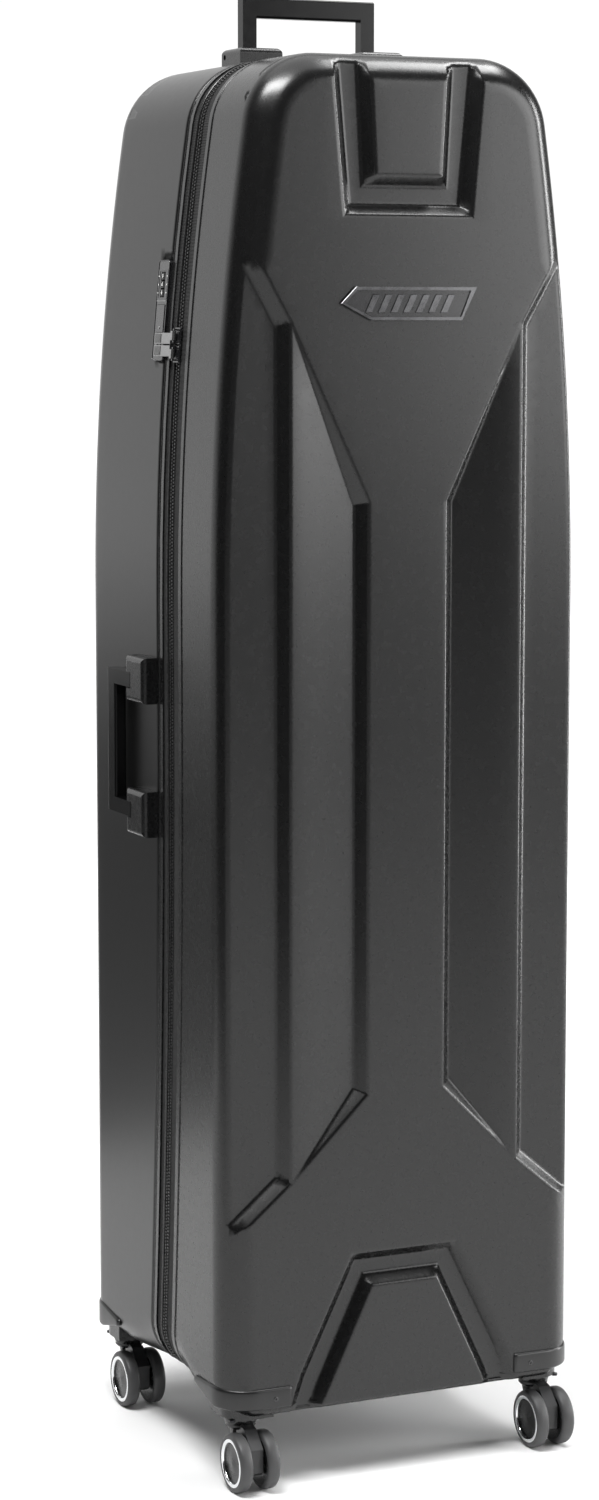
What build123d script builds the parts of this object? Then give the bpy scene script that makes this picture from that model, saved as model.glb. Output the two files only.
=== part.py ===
"""Hard-shell golf travel case on four twin-wheel spinner casters.

Case frame: +Z up, floor at Z = 0, X across the case, front face toward -Y.
Every solid is drawn about the centre of the shell and shifted once, on export,
so that the origin is the bottom centre of the whole object.
"""
from build123d import *
import math
import os

# ---------------------------------------------------------------- driving dimensions (mm)
WIDTH = 362            # across both sides of the shell
DEPTH = 340            # front face to back face
SHELL_TOP = 1300
SHELL_BOTTOM = 69
WALL = 3               # moulded shell thickness
SHOULDER_Z = 810       # sides are straight up to here, then lean in
SIDE_RADIUS = 2940     # radius of the leaning upper side
TOP_CORNER = 68
BOTTOM_CORNER = 52
EDGE_ROUND = 32        # rounding between the two faces and the sides

# opening seam: straight above SEAM_BEND_Z, then curving gently to the back
SEAM_FROM_FRONT = 125
SEAM_BEND_Z = 720
SEAM_RADIUS = 7500
SEAM_HALF = 27         # shell lip to seam centre
LIP_WIDTH = 8
LIP_DEPTH = 4.2
TAPE_INSET = 1.8
TAPE_THICK = 1.0
TEETH_HALF = 4.0
SEAM_GAP = 1.0         # half of the gap between the two zip halves

# moulded pattern on the front and back faces
RECESS = 12            # depth of the pattern
STEP_RUN = 10.7        # width of a sloped step, measured across the front face
INNER_X, OUTER_X = 38, 115             # long grooves, from the centre line
INNER_TOP_Z, OUTER_TOP_Z = 903, 1063
INNER_LOW_Z, OUTER_LOW_Z = 361, 285
RAMP_NIP = 8           # how far the ramp floor stops short of its corners
TOP_LEAN = 78 / 45     # slope of the outer groove's upper end
LOW_LEAN = 53 / 63     # slope of its lower end
OVER = 45              # patterns that run off an edge are drawn this far past it
ISLAND_OVER = 20       # raised islands are drawn further still
CROWN_Z, CROWN_LOW_X, CROWN_HIGH_X = 1157, 64, 81
CROWN_ISLAND_Z, CROWN_ISLAND_LOW_X, CROWN_ISLAND_HIGH_X = 1194, 32, 41
FOOT = ((54, 214), (108, 104), (135, 24))            # half outline, top to bottom
FOOT_ISLAND = ((32.5, 180), (80, 80), (104, 4))

# corner guards under squared corners
GUARD_LOW, GUARD_HIGH = 76, 98
HOUSING_TOP = 128
GUARD_X = 115          # inner end of a guard, from the case centre
GUARD_Y = 75           # rear end of a guard, from the front or back face
GUARD_PROUD = 1.5
GUARD_THICK = 8

# fabric lining and inside straps
LINING_GAP = 3
LINING_THICK = 1.5
STRAP_Z = (430, 880)
STRAP_WIDTH, STRAP_THICK, STRAP_HALF_X = 38, 1.5, 138
STRAP_GAP = 0.5
BUCKLE = (58, 10, 46)
BUCKLE_ROUND = 6

# badge on the front face
BADGE_Z = 1080
BADGE_W, BADGE_H, BADGE_THICK = 136, 30, 2

# casters
WHEEL_RADIUS = 27.25
WHEEL_WIDTH = 12.5
WHEEL_OFFSET = 13.5    # wheel centre from the fork centre
TRAIL = 22             # axle ahead of the swivel pin
STEM_X = 153
STEM_INSET = 32        # stem from the front or back face
AXLE_RADIUS = 3
AXLE_HALF = 17
AXLE_END_GAP = 0.4
RUN_FIT = 0.06         # radial running clearance of pins and axles
MOUNT_FACE_Z = 66
PLATE_HALF = 23        # half size of the square mount
SLEEVE_TOP = MOUNT_FACE_Z - 0.5
SLEEVE_LOW = 56
SLEEVE_RADIUS = 14
SWIVEL_PIN = 5
PIN_HEAD = 7
HEAD_GAP = 0.4
HEAD_THICK = 2.4
LEG_THICK = 12
# fork leg seen from the side, as (distance from the stem, height)
LEG = ((-38, 20), (-38, 42), (-22, 57), (-8, 60), (10, 60), (12, 52), (2, 30), (-12, 17), (-34, 17))
HUB_RADIUS = 19
HUB_INSET = 0.3
TYRE_ROUND = 3
SCREW_HEAD = 2.8
SCREW_HEAD_THICK = 2
SCREW_REACH = 15       # mount screws from the stem

# carry handles
BAIL_WIDTH = 136
BAIL_REACH = 56        # pivot to outer edge of the bar
BAR_WIDTH = 19
ARM_WIDTH = 14
BAIL_THICK = 12
HANDLE_MOUNT = 43      # mount length along the pivot
MOUNT_SPAN = 168       # outer ends of the two mounts
MOUNT_AHEAD = 36       # mount ahead of the pivot
MOUNT_BEHIND = 7
MOUNT_PROUD = 16
MOUNT_ROOT = 6         # drawn this far below the shell surface, then trimmed to it
PIVOT_PROUD = 8.5
HANDLE_PIN = 2.5
PIN_INSET = 4
MOUNT_ROUND = 5
BAR_ROUND = 2.5
SLOT_CLEAR = 0.6
TOP_PIVOT_Y = 50
SIDE_PIVOT_Y = 21
SIDE_HANDLE_Z = 671
SCREW_RADIUS = 2
SCREW_AHEAD = 26
SCREW_SPREAD = 12
SCREW_TOP = 3
BACKPLATE_THICK = 2
BACKPLATE_RIM = 8

# lock and zip sliders
LOCK_Z = 1074
LOCK_LENGTH = 92
LOCK_WIDTH = 26
LOCK_PROUD = 2.4
DIAL_RADIUS = 9
DIAL_WIDTH = 6.4
DIAL_PITCH = 7.6
DIAL_PROUD = 3.1
DIAL_MIDDLE = 23.6     # middle dial above the lock's centre
DIAL_AXLE = 1.6
DIAL_GAP = 0.8
LOCK_DEPTH = 17
LOCK_ROUND = 3
LOCK_SEAM_GAP = 1.5    # lock edge from the shell lip
BUTTON_X, BUTTON_LOW, BUTTON_HIGH, BUTTON_PROUD = 9, -20, 5, 3.0
BUTTON_DEEP = 4
BUTTON_TRAVEL = 2
BUTTON_GAP = 0.4
UPPER_SLIDER_Z = 1051
LOWER_SLIDER_Z = 1034.5
SLIDER_HALF_X, SLIDER_HALF_Y = 6, 7.5
SLIDER_LOW, SLIDER_TOP = -0.3, 1.7     # outer plate, from the shell surface
INNER_HALF_X = 5
INNER_TOP, INNER_LOW = -3.4, -4.4      # plate under the tape
WEDGE_HALF_X, WEDGE_HALF_Y = 0.6, 4    # post between the two plates
BRIDGE_Z = 4.9
BRIDGE_RADIUS = 0.8
BRIDGE_HALF = 4.6
BRIDGE_FOOT_X, BRIDGE_FOOT_Y = 1.2, 0.8
PULL_LENGTH, PULL_WIDTH, PULL_THICK = 44, 10, 1.6
PULL_NECK = 6.5
PULL_EYE = 2.0
EYE_GAP = 0.4
PULL_SHIFT = 2.6       # the two tabs sit closer together than their sliders

# hinge on the right side
HINGE_Z = (400, 600, 780)
HINGE_LENGTH = 70
KNUCKLE = 3.6
HINGE_PIN = 1.8
LEAF_THICK = 1.5
LEAF_REACH = 46
LEAF_START = KNUCKLE + 0.6
KNUCKLES = 5
KNUCKLE_GAP = 0.4
HINGE_PROUD = 4.2

HALF_W = WIDTH / 2
FRONT_Y = -DEPTH / 2
BACK_Y = DEPTH / 2
SEAM_Y = FRONT_Y + SEAM_FROM_FRONT
SIDE_OUT = HALF_W + 40
BIG = 700              # reaches past the case in every direction
nodes = {}


# ---------------------------------------------------------------- shared shapes
def side_lean(z):
    """How far the side has leaned in at height z."""
    if z <= SHOULDER_Z:
        return 0.0
    return SIDE_RADIUS - math.sqrt(SIDE_RADIUS**2 - (z - SHOULDER_Z) ** 2)


def outline(inset):
    """Front view of the shell as a face in the XZ plane, moved in by inset."""
    half = HALF_W - inset
    radius = SIDE_RADIUS - inset
    top = SHELL_TOP - inset
    bottom = SHELL_BOTTOM + inset

    def half_at(z):
        return half - radius + math.sqrt(radius**2 - (z - SHOULDER_Z) ** 2)

    middle = (SHOULDER_Z + top) / 2
    edges = [
        Line((-half, bottom), (half, bottom)),
        Line((half, bottom), (half, SHOULDER_Z)),
        ThreePointArc((half, SHOULDER_Z), (half_at(middle), middle), (half_at(top), top)),
        Line((half_at(top), top), (-half_at(top), top)),
        ThreePointArc((-half_at(top), top), (-half_at(middle), middle), (-half, SHOULDER_Z)),
        Line((-half, SHOULDER_Z), (-half, bottom)),
    ]
    face = make_face([Plane.XZ * edge for edge in edges])
    tops = [v for v in face.vertices() if abs(v.Z - top) < 0.01]
    face = fillet(tops, TOP_CORNER - inset)
    bottoms = [v for v in face.vertices() if abs(v.Z - bottom) < 0.01 and abs(v.X) > half - 1]
    return fillet(bottoms, BOTTOM_CORNER - inset)


def slab_y(face, y_from, y_to):
    """Extrude an XZ face between two Y planes."""
    return extrude(Pos(0, y_to, 0) * face, y_to - y_from, dir=(0, -1, 0))


def form(inset):
    """The whole case as one rounded solid, moved in by inset on every face."""
    y_front = FRONT_Y + inset
    y_back = BACK_Y - inset
    body = slab_y(outline(inset), y_front, y_back)
    front = [e for e in body.edges() if abs(e.center().Y - y_front) < 0.01]
    body = fillet(front, EDGE_ROUND - inset)
    back = [e for e in body.edges() if abs(e.center().Y - y_back) < 0.01]
    return fillet(back, EDGE_ROUND - inset)


def ring(inset_out, inset_in):
    """Band that follows the outline between two insets, full depth."""
    outer = slab_y(outline(inset_out), FRONT_Y, BACK_Y)
    return outer - slab_y(outline(inset_in), FRONT_Y - 1, BACK_Y + 1)


def seam_shift(z):
    """How far the seam has moved back at height z."""
    if z >= SEAM_BEND_Z:
        return 0.0
    return SEAM_RADIUS - math.sqrt(SEAM_RADIUS**2 - (SEAM_BEND_Z - z) ** 2)


def zone(ahead, behind):
    """Slab that follows the seam, between two distances from its centre line."""
    top = SHELL_TOP + 100
    middle = SEAM_BEND_Z / 2

    def edge(offset):
        y = SEAM_Y + offset
        bend = Vector(0, y, SEAM_BEND_Z)
        foot = Vector(0, y + seam_shift(0), 0)
        arc = ThreePointArc(bend, (0, y + seam_shift(middle), middle), foot)
        return Line((0, y, top), bend), arc, foot

    line_a, arc_a, foot_a = edge(ahead)
    line_b, arc_b, foot_b = edge(behind)
    roof = Line(line_a @ 0, line_b @ 0)
    floor = Line(foot_a, foot_b)
    face = make_face([line_a, arc_a, floor, arc_b, line_b, roof])
    return extrude(Pos(-BIG / 2, 0, 0) * face, BIG, dir=(1, 0, 0))


def block(x_range, y_range, z_range):
    """Box between two values on each axis."""
    size = [b - a for a, b in (x_range, y_range, z_range)]
    middle = [(a + b) / 2 for a, b in (x_range, y_range, z_range)]
    return Pos(*middle) * Box(*size)


def rod_x(radius, x_from, x_to, y=0, z=0):
    """Cylinder along X."""
    length = x_to - x_from
    return Pos((x_from + x_to) / 2, y, z) * Rot(0, 90, 0) * Cylinder(radius, length)


def rod_z(radius, z_from, z_to, x=0, y=0):
    """Cylinder along Z."""
    return Pos(x, y, (z_from + z_to) / 2) * Cylinder(radius, z_to - z_from)


def both_sides(shape):
    """A shape and its mirror image across the case."""
    return [shape, mirror(shape, Plane.YZ)]


def group(shapes):
    """Several separate solids kept in one node."""
    solids = []
    for shape in shapes:
        solids += shape.solids()
    return Compound(solids)


# ---------------------------------------------------------------- front face pattern
def recess(corners, grow, island=False):
    """Tapered tool for one pattern outline, grown outward for the inner wall."""
    rate = STEP_RUN / RECESS
    shift = grow * math.sqrt(1 + rate**2)
    depth = RECESS + grow
    face = make_face(Polyline(*[(x, -z) for x, z in corners], close=True))
    if grow:
        face = offset(face, amount=-shift if island else shift, kind=Kind.INTERSECTION)
    taper = math.degrees(math.atan(rate))
    plane = Plane(origin=(0, FRONT_Y, 0), x_dir=(1, 0, 0), z_dir=(0, 1, 0))
    return extrude(plane * face, depth, taper=-taper if island else taper)


def ramp_tool(grow):
    """Wedge between the inner and outer grooves on the right-hand side."""
    rise = grow * 1.02
    rate = STEP_RUN / RECESS
    slope = RECESS / (OUTER_X - INNER_X - STEP_RUN)
    x_in = INNER_X - grow * math.sqrt(1 + rate**2)
    x_out = OUTER_X + rise / slope
    depth = (slope * (OUTER_X - x_in) + rise) / (1 + slope * rate)
    x_floor = x_in + rate * depth
    top_rate = (OUTER_TOP_Z - INNER_TOP_Z) / (OUTER_X - INNER_X)
    low_rate = (INNER_LOW_Z - OUTER_LOW_Z) / (OUTER_X - INNER_X)
    top_grow = grow * math.sqrt(1 + top_rate**2)
    low_grow = grow * math.sqrt(1 + low_rate**2)

    def top_z(x):
        return INNER_TOP_Z + top_rate * (x - INNER_X) + top_grow

    def low_z(x):
        return INNER_LOW_Z - low_rate * (x - INNER_X) - low_grow

    y0 = FRONT_Y
    y1 = FRONT_Y + depth
    a = (x_in, y0, top_z(x_in))
    b = (x_in, y0, low_z(x_in))
    c = (x_out, y0, low_z(x_out))
    d = (x_out, y0, top_z(x_out))
    e = (x_floor, y1, top_z(x_in) - RAMP_NIP)
    f = (x_floor, y1, low_z(x_in) + RAMP_NIP)
    loops = [(a, b, c, d), (a, b, f, e), (e, f, c, d), (a, e, d), (b, f, c)]
    faces = [Face(Wire.make_polygon(loop, close=True)) for loop in loops]
    return Solid(Shell(faces))


def symmetric(half_outline):
    """Closed outline from its right-hand half, given top to bottom."""
    return [*half_outline, *[(-x, z) for x, z in reversed(half_outline)]]


def pattern(grow):
    """All tools of the front pattern; grow > 0 gives the matching inner wall."""
    run = SIDE_OUT - OUTER_X
    panel = [
        (OUTER_X, OUTER_TOP_Z),
        (OUTER_X, OUTER_LOW_Z),
        (SIDE_OUT, OUTER_LOW_Z - run * LOW_LEAN),
        (SIDE_OUT, OUTER_TOP_Z + run * TOP_LEAN),
    ]
    side_tools = recess(panel, grow) + ramp_tool(grow)
    top = SHELL_TOP + OVER
    crown = recess(symmetric([(CROWN_HIGH_X, top), (CROWN_LOW_X, CROWN_Z)]), grow)
    crown_island = [(CROWN_ISLAND_HIGH_X, top + ISLAND_OVER), (CROWN_ISLAND_LOW_X, CROWN_ISLAND_Z)]
    crown -= recess(symmetric(crown_island), grow, island=True)
    foot = recess(symmetric(FOOT), grow)
    foot -= recess(symmetric(FOOT_ISLAND), grow, island=True)
    return [*both_sides(side_tools), crown, foot]


# ---------------------------------------------------------------- shells, linings, seam
def corner_prism(inset):
    """Plan view of the shell with its rounded vertical corners, full height."""
    plan = RectangleRounded(WIDTH - 2 * inset, DEPTH - 2 * inset, EDGE_ROUND - inset)
    return extrude(plan, SHELL_TOP)


outer_form = form(0)


def corner_zone(side, front, z_range, x_in=GUARD_X, y_in=GUARD_Y):
    """Box over one bottom corner; side and front are -1 or +1."""
    x = sorted((side * x_in, side * (HALF_W + 20)))
    y = sorted((front * (BACK_Y - y_in), front * (BACK_Y + 20)))
    return block(x, y, z_range)


def housings(front):
    """Squared moulded corners above the two guards of one shell."""
    prism = corner_prism(0)
    return [prism & corner_zone(side, front, (GUARD_HIGH, HOUSING_TOP)) for side in (-1, 1)]


def guard(side, front):
    """Wrap-round guard under one squared corner."""
    bumper = corner_prism(-GUARD_PROUD) - corner_prism(GUARD_THICK)
    bumper &= corner_zone(side, front, (GUARD_LOW, GUARD_HIGH))
    return bumper - outer_form


def edge_trim(near, far):
    """Moulded lip that closes the cut edge of a shell."""
    return ring(0, LIP_DEPTH) & zone(near, far)


def zip_tape(near, far):
    """Woven tape sunk below the two lips."""
    return ring(TAPE_INSET, TAPE_INSET + TAPE_THICK) & zone(near, far)


def zip_teeth(near, far):
    """Coil on the outside of the tape; it stops short of the hinge side."""
    coil = ring(TAPE_INSET - 1.2, TAPE_INSET) & zone(near, far)
    return coil - block((100, BIG), (-BIG, BIG), (0, SHELL_TOP + 50))


LINING_Y = BACK_Y - RECESS - WALL - LINING_GAP
cavity = form(WALL)
shell_zones = {"front": zone(-BIG, -SEAM_HALF), "back": zone(SEAM_HALF, BIG)}
cavity_zones = {"front": zone(-BIG, -SEAM_HALF + 1), "back": zone(SEAM_HALF - 1, BIG)}
lining_zones = {"front": zone(-BIG, -SEAM_HALF - 2), "back": zone(SEAM_HALF + 2, BIG)}
lining_out = form(WALL + LINING_GAP)
lining_in = form(WALL + LINING_GAP + LINING_THICK)
for name, direction in (("front", -1), ("back", 1)):
    shell = outer_form & shell_zones[name]
    hollow = cavity & cavity_zones[name]
    for tool, wall_tool in zip(pattern(0), pattern(WALL)):
        shell -= tool if direction < 0 else mirror(tool, Plane.XZ)
        hollow -= wall_tool if direction < 0 else mirror(wall_tool, Plane.XZ)
    shell -= hollow
    for housing in housings(direction):
        shell += housing - outer_form
    nodes[f"{name}_shell"] = shell

    floor_y = direction * LINING_Y
    outside = block((-BIG, BIG), sorted((floor_y, -direction * BIG)), (0, 2 * BIG))
    inside = block((-BIG, BIG), sorted((floor_y - direction * LINING_THICK, -direction * BIG)), (0, 2 * BIG))
    tray = (lining_out & outside) - (lining_in & inside)
    nodes[f"{name}_lining"] = tray & lining_zones[name]

tape_edge = SEAM_HALF - LIP_WIDTH
nodes["back_edge_trim"] = edge_trim(tape_edge, SEAM_HALF)
nodes["front_edge_trim"] = edge_trim(-SEAM_HALF, -tape_edge)
nodes["back_zip_tape"] = zip_tape(SEAM_GAP, tape_edge)
nodes["front_zip_tape"] = zip_tape(-tape_edge, -SEAM_GAP)
nodes["back_zip_teeth"] = zip_teeth(SEAM_GAP, TEETH_HALF)
nodes["front_zip_teeth"] = zip_teeth(-TEETH_HALF, -SEAM_GAP)

CORNERS = {"front_left": (-1, -1), "front_right": (1, -1), "back_left": (-1, 1), "back_right": (1, 1)}
for place, (side, front) in CORNERS.items():
    nodes[f"{place}_corner_guard"] = guard(side, front)

badge_face = make_face(
    Polyline((-BADGE_W / 2, 0), (-BADGE_W / 2 + BADGE_H / 2, BADGE_H / 2),
             (BADGE_W / 2, BADGE_H / 2), (BADGE_W / 2 - BADGE_H / 2, -BADGE_H / 2),
             (-BADGE_W / 2 + BADGE_H, -BADGE_H / 2), close=True))
badge_plane = Plane(origin=(0, FRONT_Y, BADGE_Z), x_dir=(1, 0, 0), z_dir=(0, -1, 0))
nodes["badge"] = extrude(badge_plane * badge_face, BADGE_THICK)

# ---------------------------------------------------------------- casters

def fork():
    """Fork in its own frame: stem axis at X = Y = 0, floor at Z = 0."""
    sleeve = rod_z(SLEEVE_RADIUS, SLEEVE_LOW, SLEEVE_TOP)
    profile = make_face(Polyline(*[(0, y, z) for y, z in LEG], close=True))
    leg = extrude(Pos(-LEG_THICK / 2, 0, 0) * profile, LEG_THICK, dir=(1, 0, 0))
    pocket_low = SLEEVE_LOW - SLEEVE_RADIUS
    body = sleeve + leg
    body -= rod_z(SWIVEL_PIN + RUN_FIT, pocket_low, SLEEVE_TOP + 1)
    body -= rod_z(PIN_HEAD + HEAD_GAP, pocket_low, SLEEVE_LOW)
    body -= rod_x(AXLE_RADIUS, -AXLE_HALF, AXLE_HALF, -TRAIL, WHEEL_RADIUS)
    axle = rod_x(AXLE_RADIUS, -AXLE_HALF, AXLE_HALF, -TRAIL, WHEEL_RADIUS)
    return [body, axle]


def swivel_pin():
    """Pin that hangs from the caster mount and carries the fork on its head."""
    head_high = SLEEVE_LOW - HEAD_GAP
    head_low = head_high - HEAD_THICK
    return rod_z(SWIVEL_PIN, head_low, MOUNT_FACE_Z) + rod_z(PIN_HEAD, head_low, head_high)


def tyre(side):
    """Tyre of one wheel in the fork's frame."""
    centre = side * WHEEL_OFFSET
    solid = rod_x(WHEEL_RADIUS, centre - WHEEL_WIDTH / 2, centre + WHEEL_WIDTH / 2, -TRAIL, WHEEL_RADIUS)
    solid = fillet(solid.edges().filter_by(GeomType.CIRCLE), TYRE_ROUND)
    return solid - rod_x(HUB_RADIUS, centre - BIG / 2, centre + BIG / 2, -TRAIL, WHEEL_RADIUS)


def hub(side):
    """Hub with a blind bore from the fork side."""
    centre = side * WHEEL_OFFSET
    half = WHEEL_WIDTH / 2 - HUB_INSET
    solid = rod_x(HUB_RADIUS, centre - half, centre + half, -TRAIL, WHEEL_RADIUS)
    bore = sorted((0, side * (AXLE_HALF + AXLE_END_GAP)))
    return solid - rod_x(AXLE_RADIUS + RUN_FIT, *bore, -TRAIL, WHEEL_RADIUS)


def caster_mount(side, front):
    """Block between a squared corner and the swivel, with the fixed swivel pin."""
    x = side * STEM_X
    y = front * (BACK_Y - STEM_INSET)
    x_range = (x - PLATE_HALF, x + PLATE_HALF)
    y_range = (y - PLATE_HALF, y + PLATE_HALF)
    body = block(x_range, y_range, (MOUNT_FACE_Z, GUARD_HIGH))
    body &= corner_prism(GUARD_THICK)
    body -= outer_form
    return body, Pos(x, y, 0) * swivel_pin()


def plate_screws(side, front):
    """Four pan heads under a caster mount."""
    x = side * STEM_X
    y = front * (BACK_Y - STEM_INSET)
    spots = [(x + i * SCREW_REACH, y + j * SCREW_REACH) for i in (-1, 1) for j in (-1, 1)]
    return [rod_z(SCREW_HEAD, MOUNT_FACE_Z - SCREW_HEAD_THICK, MOUNT_FACE_Z, *spot) for spot in spots]


for name, front in (("front", -1), ("back", 1)):
    mounts = []
    screws = []
    for side in (-1, 1):
        mounts += caster_mount(side, front)
        screws += plate_screws(side, front)
    nodes[f"{name}_caster_mounts"] = group(mounts)
    nodes[f"{name}_caster_screws"] = group(screws)

for place, (side, front) in CORNERS.items():
    stem = Pos(side * STEM_X, front * (BACK_Y - STEM_INSET), 0)
    nodes[f"{place}_fork"] = group([stem * solid for solid in fork()])
    for wheel, wheel_side in (("left", -1), ("right", 1)):
        nodes[f"{place}_{wheel}_tyre"] = stem * tyre(wheel_side)
        nodes[f"{place}_{wheel}_hub"] = stem * hub(wheel_side)

# ---------------------------------------------------------------- carry handles
ARM_X = BAIL_WIDTH / 2 - ARM_WIDTH / 2
MOUNT_X = MOUNT_SPAN / 2 - HANDLE_MOUNT / 2
SLOT_HALF_Y = BAIL_THICK / 2 + 1


def grip():
    """Bail in its own frame: pivot along X at the origin, bar toward +Z."""
    bar = block((-BAIL_WIDTH / 2, BAIL_WIDTH / 2), (-BAIL_THICK / 2, BAIL_THICK / 2),
                (BAIL_REACH - BAR_WIDTH, BAIL_REACH))
    bar = fillet(bar.edges().filter_by(Axis.X), BAR_ROUND)
    bail = bar
    for side in (-1, 1):
        arm = block((side * ARM_X - ARM_WIDTH / 2, side * ARM_X + ARM_WIDTH / 2),
                    (-BAIL_THICK / 2, BAIL_THICK / 2), (0, BAIL_REACH - BAR_WIDTH / 2))
        eye = rod_x(BAIL_THICK / 2, side * ARM_X - ARM_WIDTH / 2, side * ARM_X + ARM_WIDTH / 2)
        bail += arm + eye
    return bail - rod_x(HANDLE_PIN + RUN_FIT, -BAIL_WIDTH, BAIL_WIDTH)


def handle_mounts():
    """Two slotted mounts in the grip's frame; +Y is the way the grip folds."""
    solids = []
    for side in (-1, 1):
        x = side * MOUNT_X
        solid = block((x - HANDLE_MOUNT / 2, x + HANDLE_MOUNT / 2), (-MOUNT_AHEAD, MOUNT_BEHIND),
                      (-PIVOT_PROUD - MOUNT_ROOT, MOUNT_PROUD - PIVOT_PROUD))
        top = solid.edges().filter_by(lambda e: e.center().Z > MOUNT_PROUD - PIVOT_PROUD - 0.1)
        solid = fillet(top, MOUNT_ROUND)
        slot_x = side * ARM_X
        slot_half = ARM_WIDTH / 2 + SLOT_CLEAR
        slot = block((slot_x - slot_half, slot_x + slot_half), (-SLOT_HALF_Y, BIG),
                     (-BAIL_THICK / 2 - SLOT_CLEAR, BIG))
        solid -= slot
        solids.append(solid - rod_x(HANDLE_PIN, -BIG, BIG))
    return solids


def handle_pins():
    """One pivot pin per mount, held in both cheeks."""
    half = HANDLE_MOUNT / 2 - PIN_INSET
    return [rod_x(HANDLE_PIN, side * MOUNT_X - half, side * MOUNT_X + half) for side in (-1, 1)]


top_frame = Pos(0, TOP_PIVOT_Y, SHELL_TOP + PIVOT_PROUD)
side_frame = Location(Plane(origin=(-HALF_W - PIVOT_PROUD, SIDE_PIVOT_Y, SIDE_HANDLE_Z),
                            x_dir=(0, 0, -1), z_dir=(0, 1, 0)))
side_mount_frame = Location(Plane(origin=(-HALF_W - PIVOT_PROUD, SIDE_PIVOT_Y, SIDE_HANDLE_Z),
                                  x_dir=(0, 0, 1), z_dir=(-1, 0, 0)))
nodes["top_handle_grip"] = top_frame * grip()
nodes["side_handle_grip"] = side_frame * grip()

PLATE_LOW = -PIVOT_PROUD - WALL - BACKPLATE_THICK


def handle_screws():
    """Screws up through the shell into both mounts, in the mounts' frame."""
    spots = [(side * MOUNT_X + i * SCREW_SPREAD, -SCREW_AHEAD) for side in (-1, 1) for i in (-1, 1)]
    return [rod_z(SCREW_RADIUS, PLATE_LOW, SCREW_TOP, *spot) for spot in spots]


def handle_plates():
    """Two steel backing plates inside the shell, in the mounts' frame."""
    half = SCREW_SPREAD + BACKPLATE_RIM
    y_range = (-SCREW_AHEAD - BACKPLATE_RIM, -SCREW_AHEAD + BACKPLATE_RIM)
    z_range = (PLATE_LOW, PLATE_LOW + BACKPLATE_THICK)
    return [block((side * MOUNT_X - half, side * MOUNT_X + half), y_range, z_range) for side in (-1, 1)]


screws = [frame * screw for frame in (top_frame, side_mount_frame) for screw in handle_screws()]
screw_cut = Compound(screws)
nodes["top_handle_mounts"] = group([(top_frame * m) - outer_form - screw_cut for m in handle_mounts()])
nodes["side_handle_mounts"] = group(
    [(side_mount_frame * m) - outer_form - screw_cut for m in handle_mounts()])
plates = [(frame * plate) - screw_cut for frame in (top_frame, side_mount_frame) for plate in handle_plates()]
plates = [plate - (outer_form - cavity) for plate in plates]
nodes["handle_backplates"] = group(plates)
nodes["handle_pins"] = group([frame * pin for frame in (top_frame, side_frame) for pin in handle_pins()])
nodes["back_shell"] -= screw_cut
nodes["back_screws"] = group([*screws, *nodes.pop("back_caster_screws").solids()])
nodes["front_screws"] = nodes.pop("front_caster_screws")


# ---------------------------------------------------------------- combination lock
def side_frame_at(z, y):
    """Frame on the left side: local X to the front, local Y up, local Z outward."""
    lean = math.asin((z - SHOULDER_Z) / SIDE_RADIUS)
    normal = (-math.cos(lean), 0, math.sin(lean))
    origin = (-HALF_W + side_lean(z), y, z)
    return Location(Plane(origin=origin, x_dir=(0, -1, 0), z_dir=normal))


def rod_y(radius, y_from, y_to, x=0, z=0):
    """Cylinder along Y."""
    return Pos(x, (y_from + y_to) / 2, z) * Rot(90, 0, 0) * Cylinder(radius, y_to - y_from)


LOCK_Y = SEAM_Y + SEAM_HALF + LOCK_SEAM_GAP + LOCK_WIDTH / 2
DIAL_SPOTS = [DIAL_MIDDLE + i * DIAL_PITCH for i in (1, 0, -1)]
DIAL_AXIS = DIAL_PROUD - DIAL_RADIUS
LINING_CLEAR = 2

lock_frame = side_frame_at(LOCK_Z, LOCK_Y)
lock_size = ((-LOCK_WIDTH / 2, LOCK_WIDTH / 2), (-LOCK_LENGTH / 2, LOCK_LENGTH / 2))
lock_body = block(*lock_size, (-LOCK_DEPTH, LOCK_PROUD))
lock_body = fillet(lock_body.edges().filter_by(Axis.Z), LOCK_ROUND)
nodes["back_shell"] -= lock_frame * lock_body
lining_size = [(low - LINING_CLEAR, high + LINING_CLEAR) for low, high in lock_size]
lining_cut = block(*lining_size, (-LOCK_DEPTH - LINING_CLEAR, LOCK_PROUD))
nodes["back_lining"] -= lock_frame * lining_cut
chamber_low = DIAL_SPOTS[-1] - DIAL_WIDTH / 2 - DIAL_GAP
chamber_high = DIAL_SPOTS[0] + DIAL_WIDTH / 2 + DIAL_GAP
lock_body -= rod_y(DIAL_RADIUS + 0.6, chamber_low, chamber_high, 0, DIAL_AXIS)
dial_axle = rod_y(DIAL_AXLE, chamber_low - 2, chamber_high + 2, 0, DIAL_AXIS)
lock_body -= dial_axle
lock_body -= block((-BUTTON_X - BUTTON_GAP, BUTTON_X + BUTTON_GAP),
                   (BUTTON_LOW - BUTTON_GAP, BUTTON_HIGH + BUTTON_GAP),
                   (-BUTTON_DEEP - BUTTON_TRAVEL - 1, LOCK_PROUD + 1))
nodes["lock_housing"] = group([lock_frame * lock_body, lock_frame * dial_axle])
for number, spot in enumerate(DIAL_SPOTS, start=1):
    dial = rod_y(DIAL_RADIUS, spot - DIAL_WIDTH / 2, spot + DIAL_WIDTH / 2, 0, DIAL_AXIS)
    dial -= rod_y(DIAL_AXLE + RUN_FIT, spot - DIAL_WIDTH, spot + DIAL_WIDTH, 0, DIAL_AXIS)
    nodes[f"lock_dial_{number}"] = lock_frame * dial
button = block((-BUTTON_X, BUTTON_X), (BUTTON_LOW, BUTTON_HIGH), (-BUTTON_DEEP, BUTTON_PROUD))
nodes["lock_button"] = lock_frame * button

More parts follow.
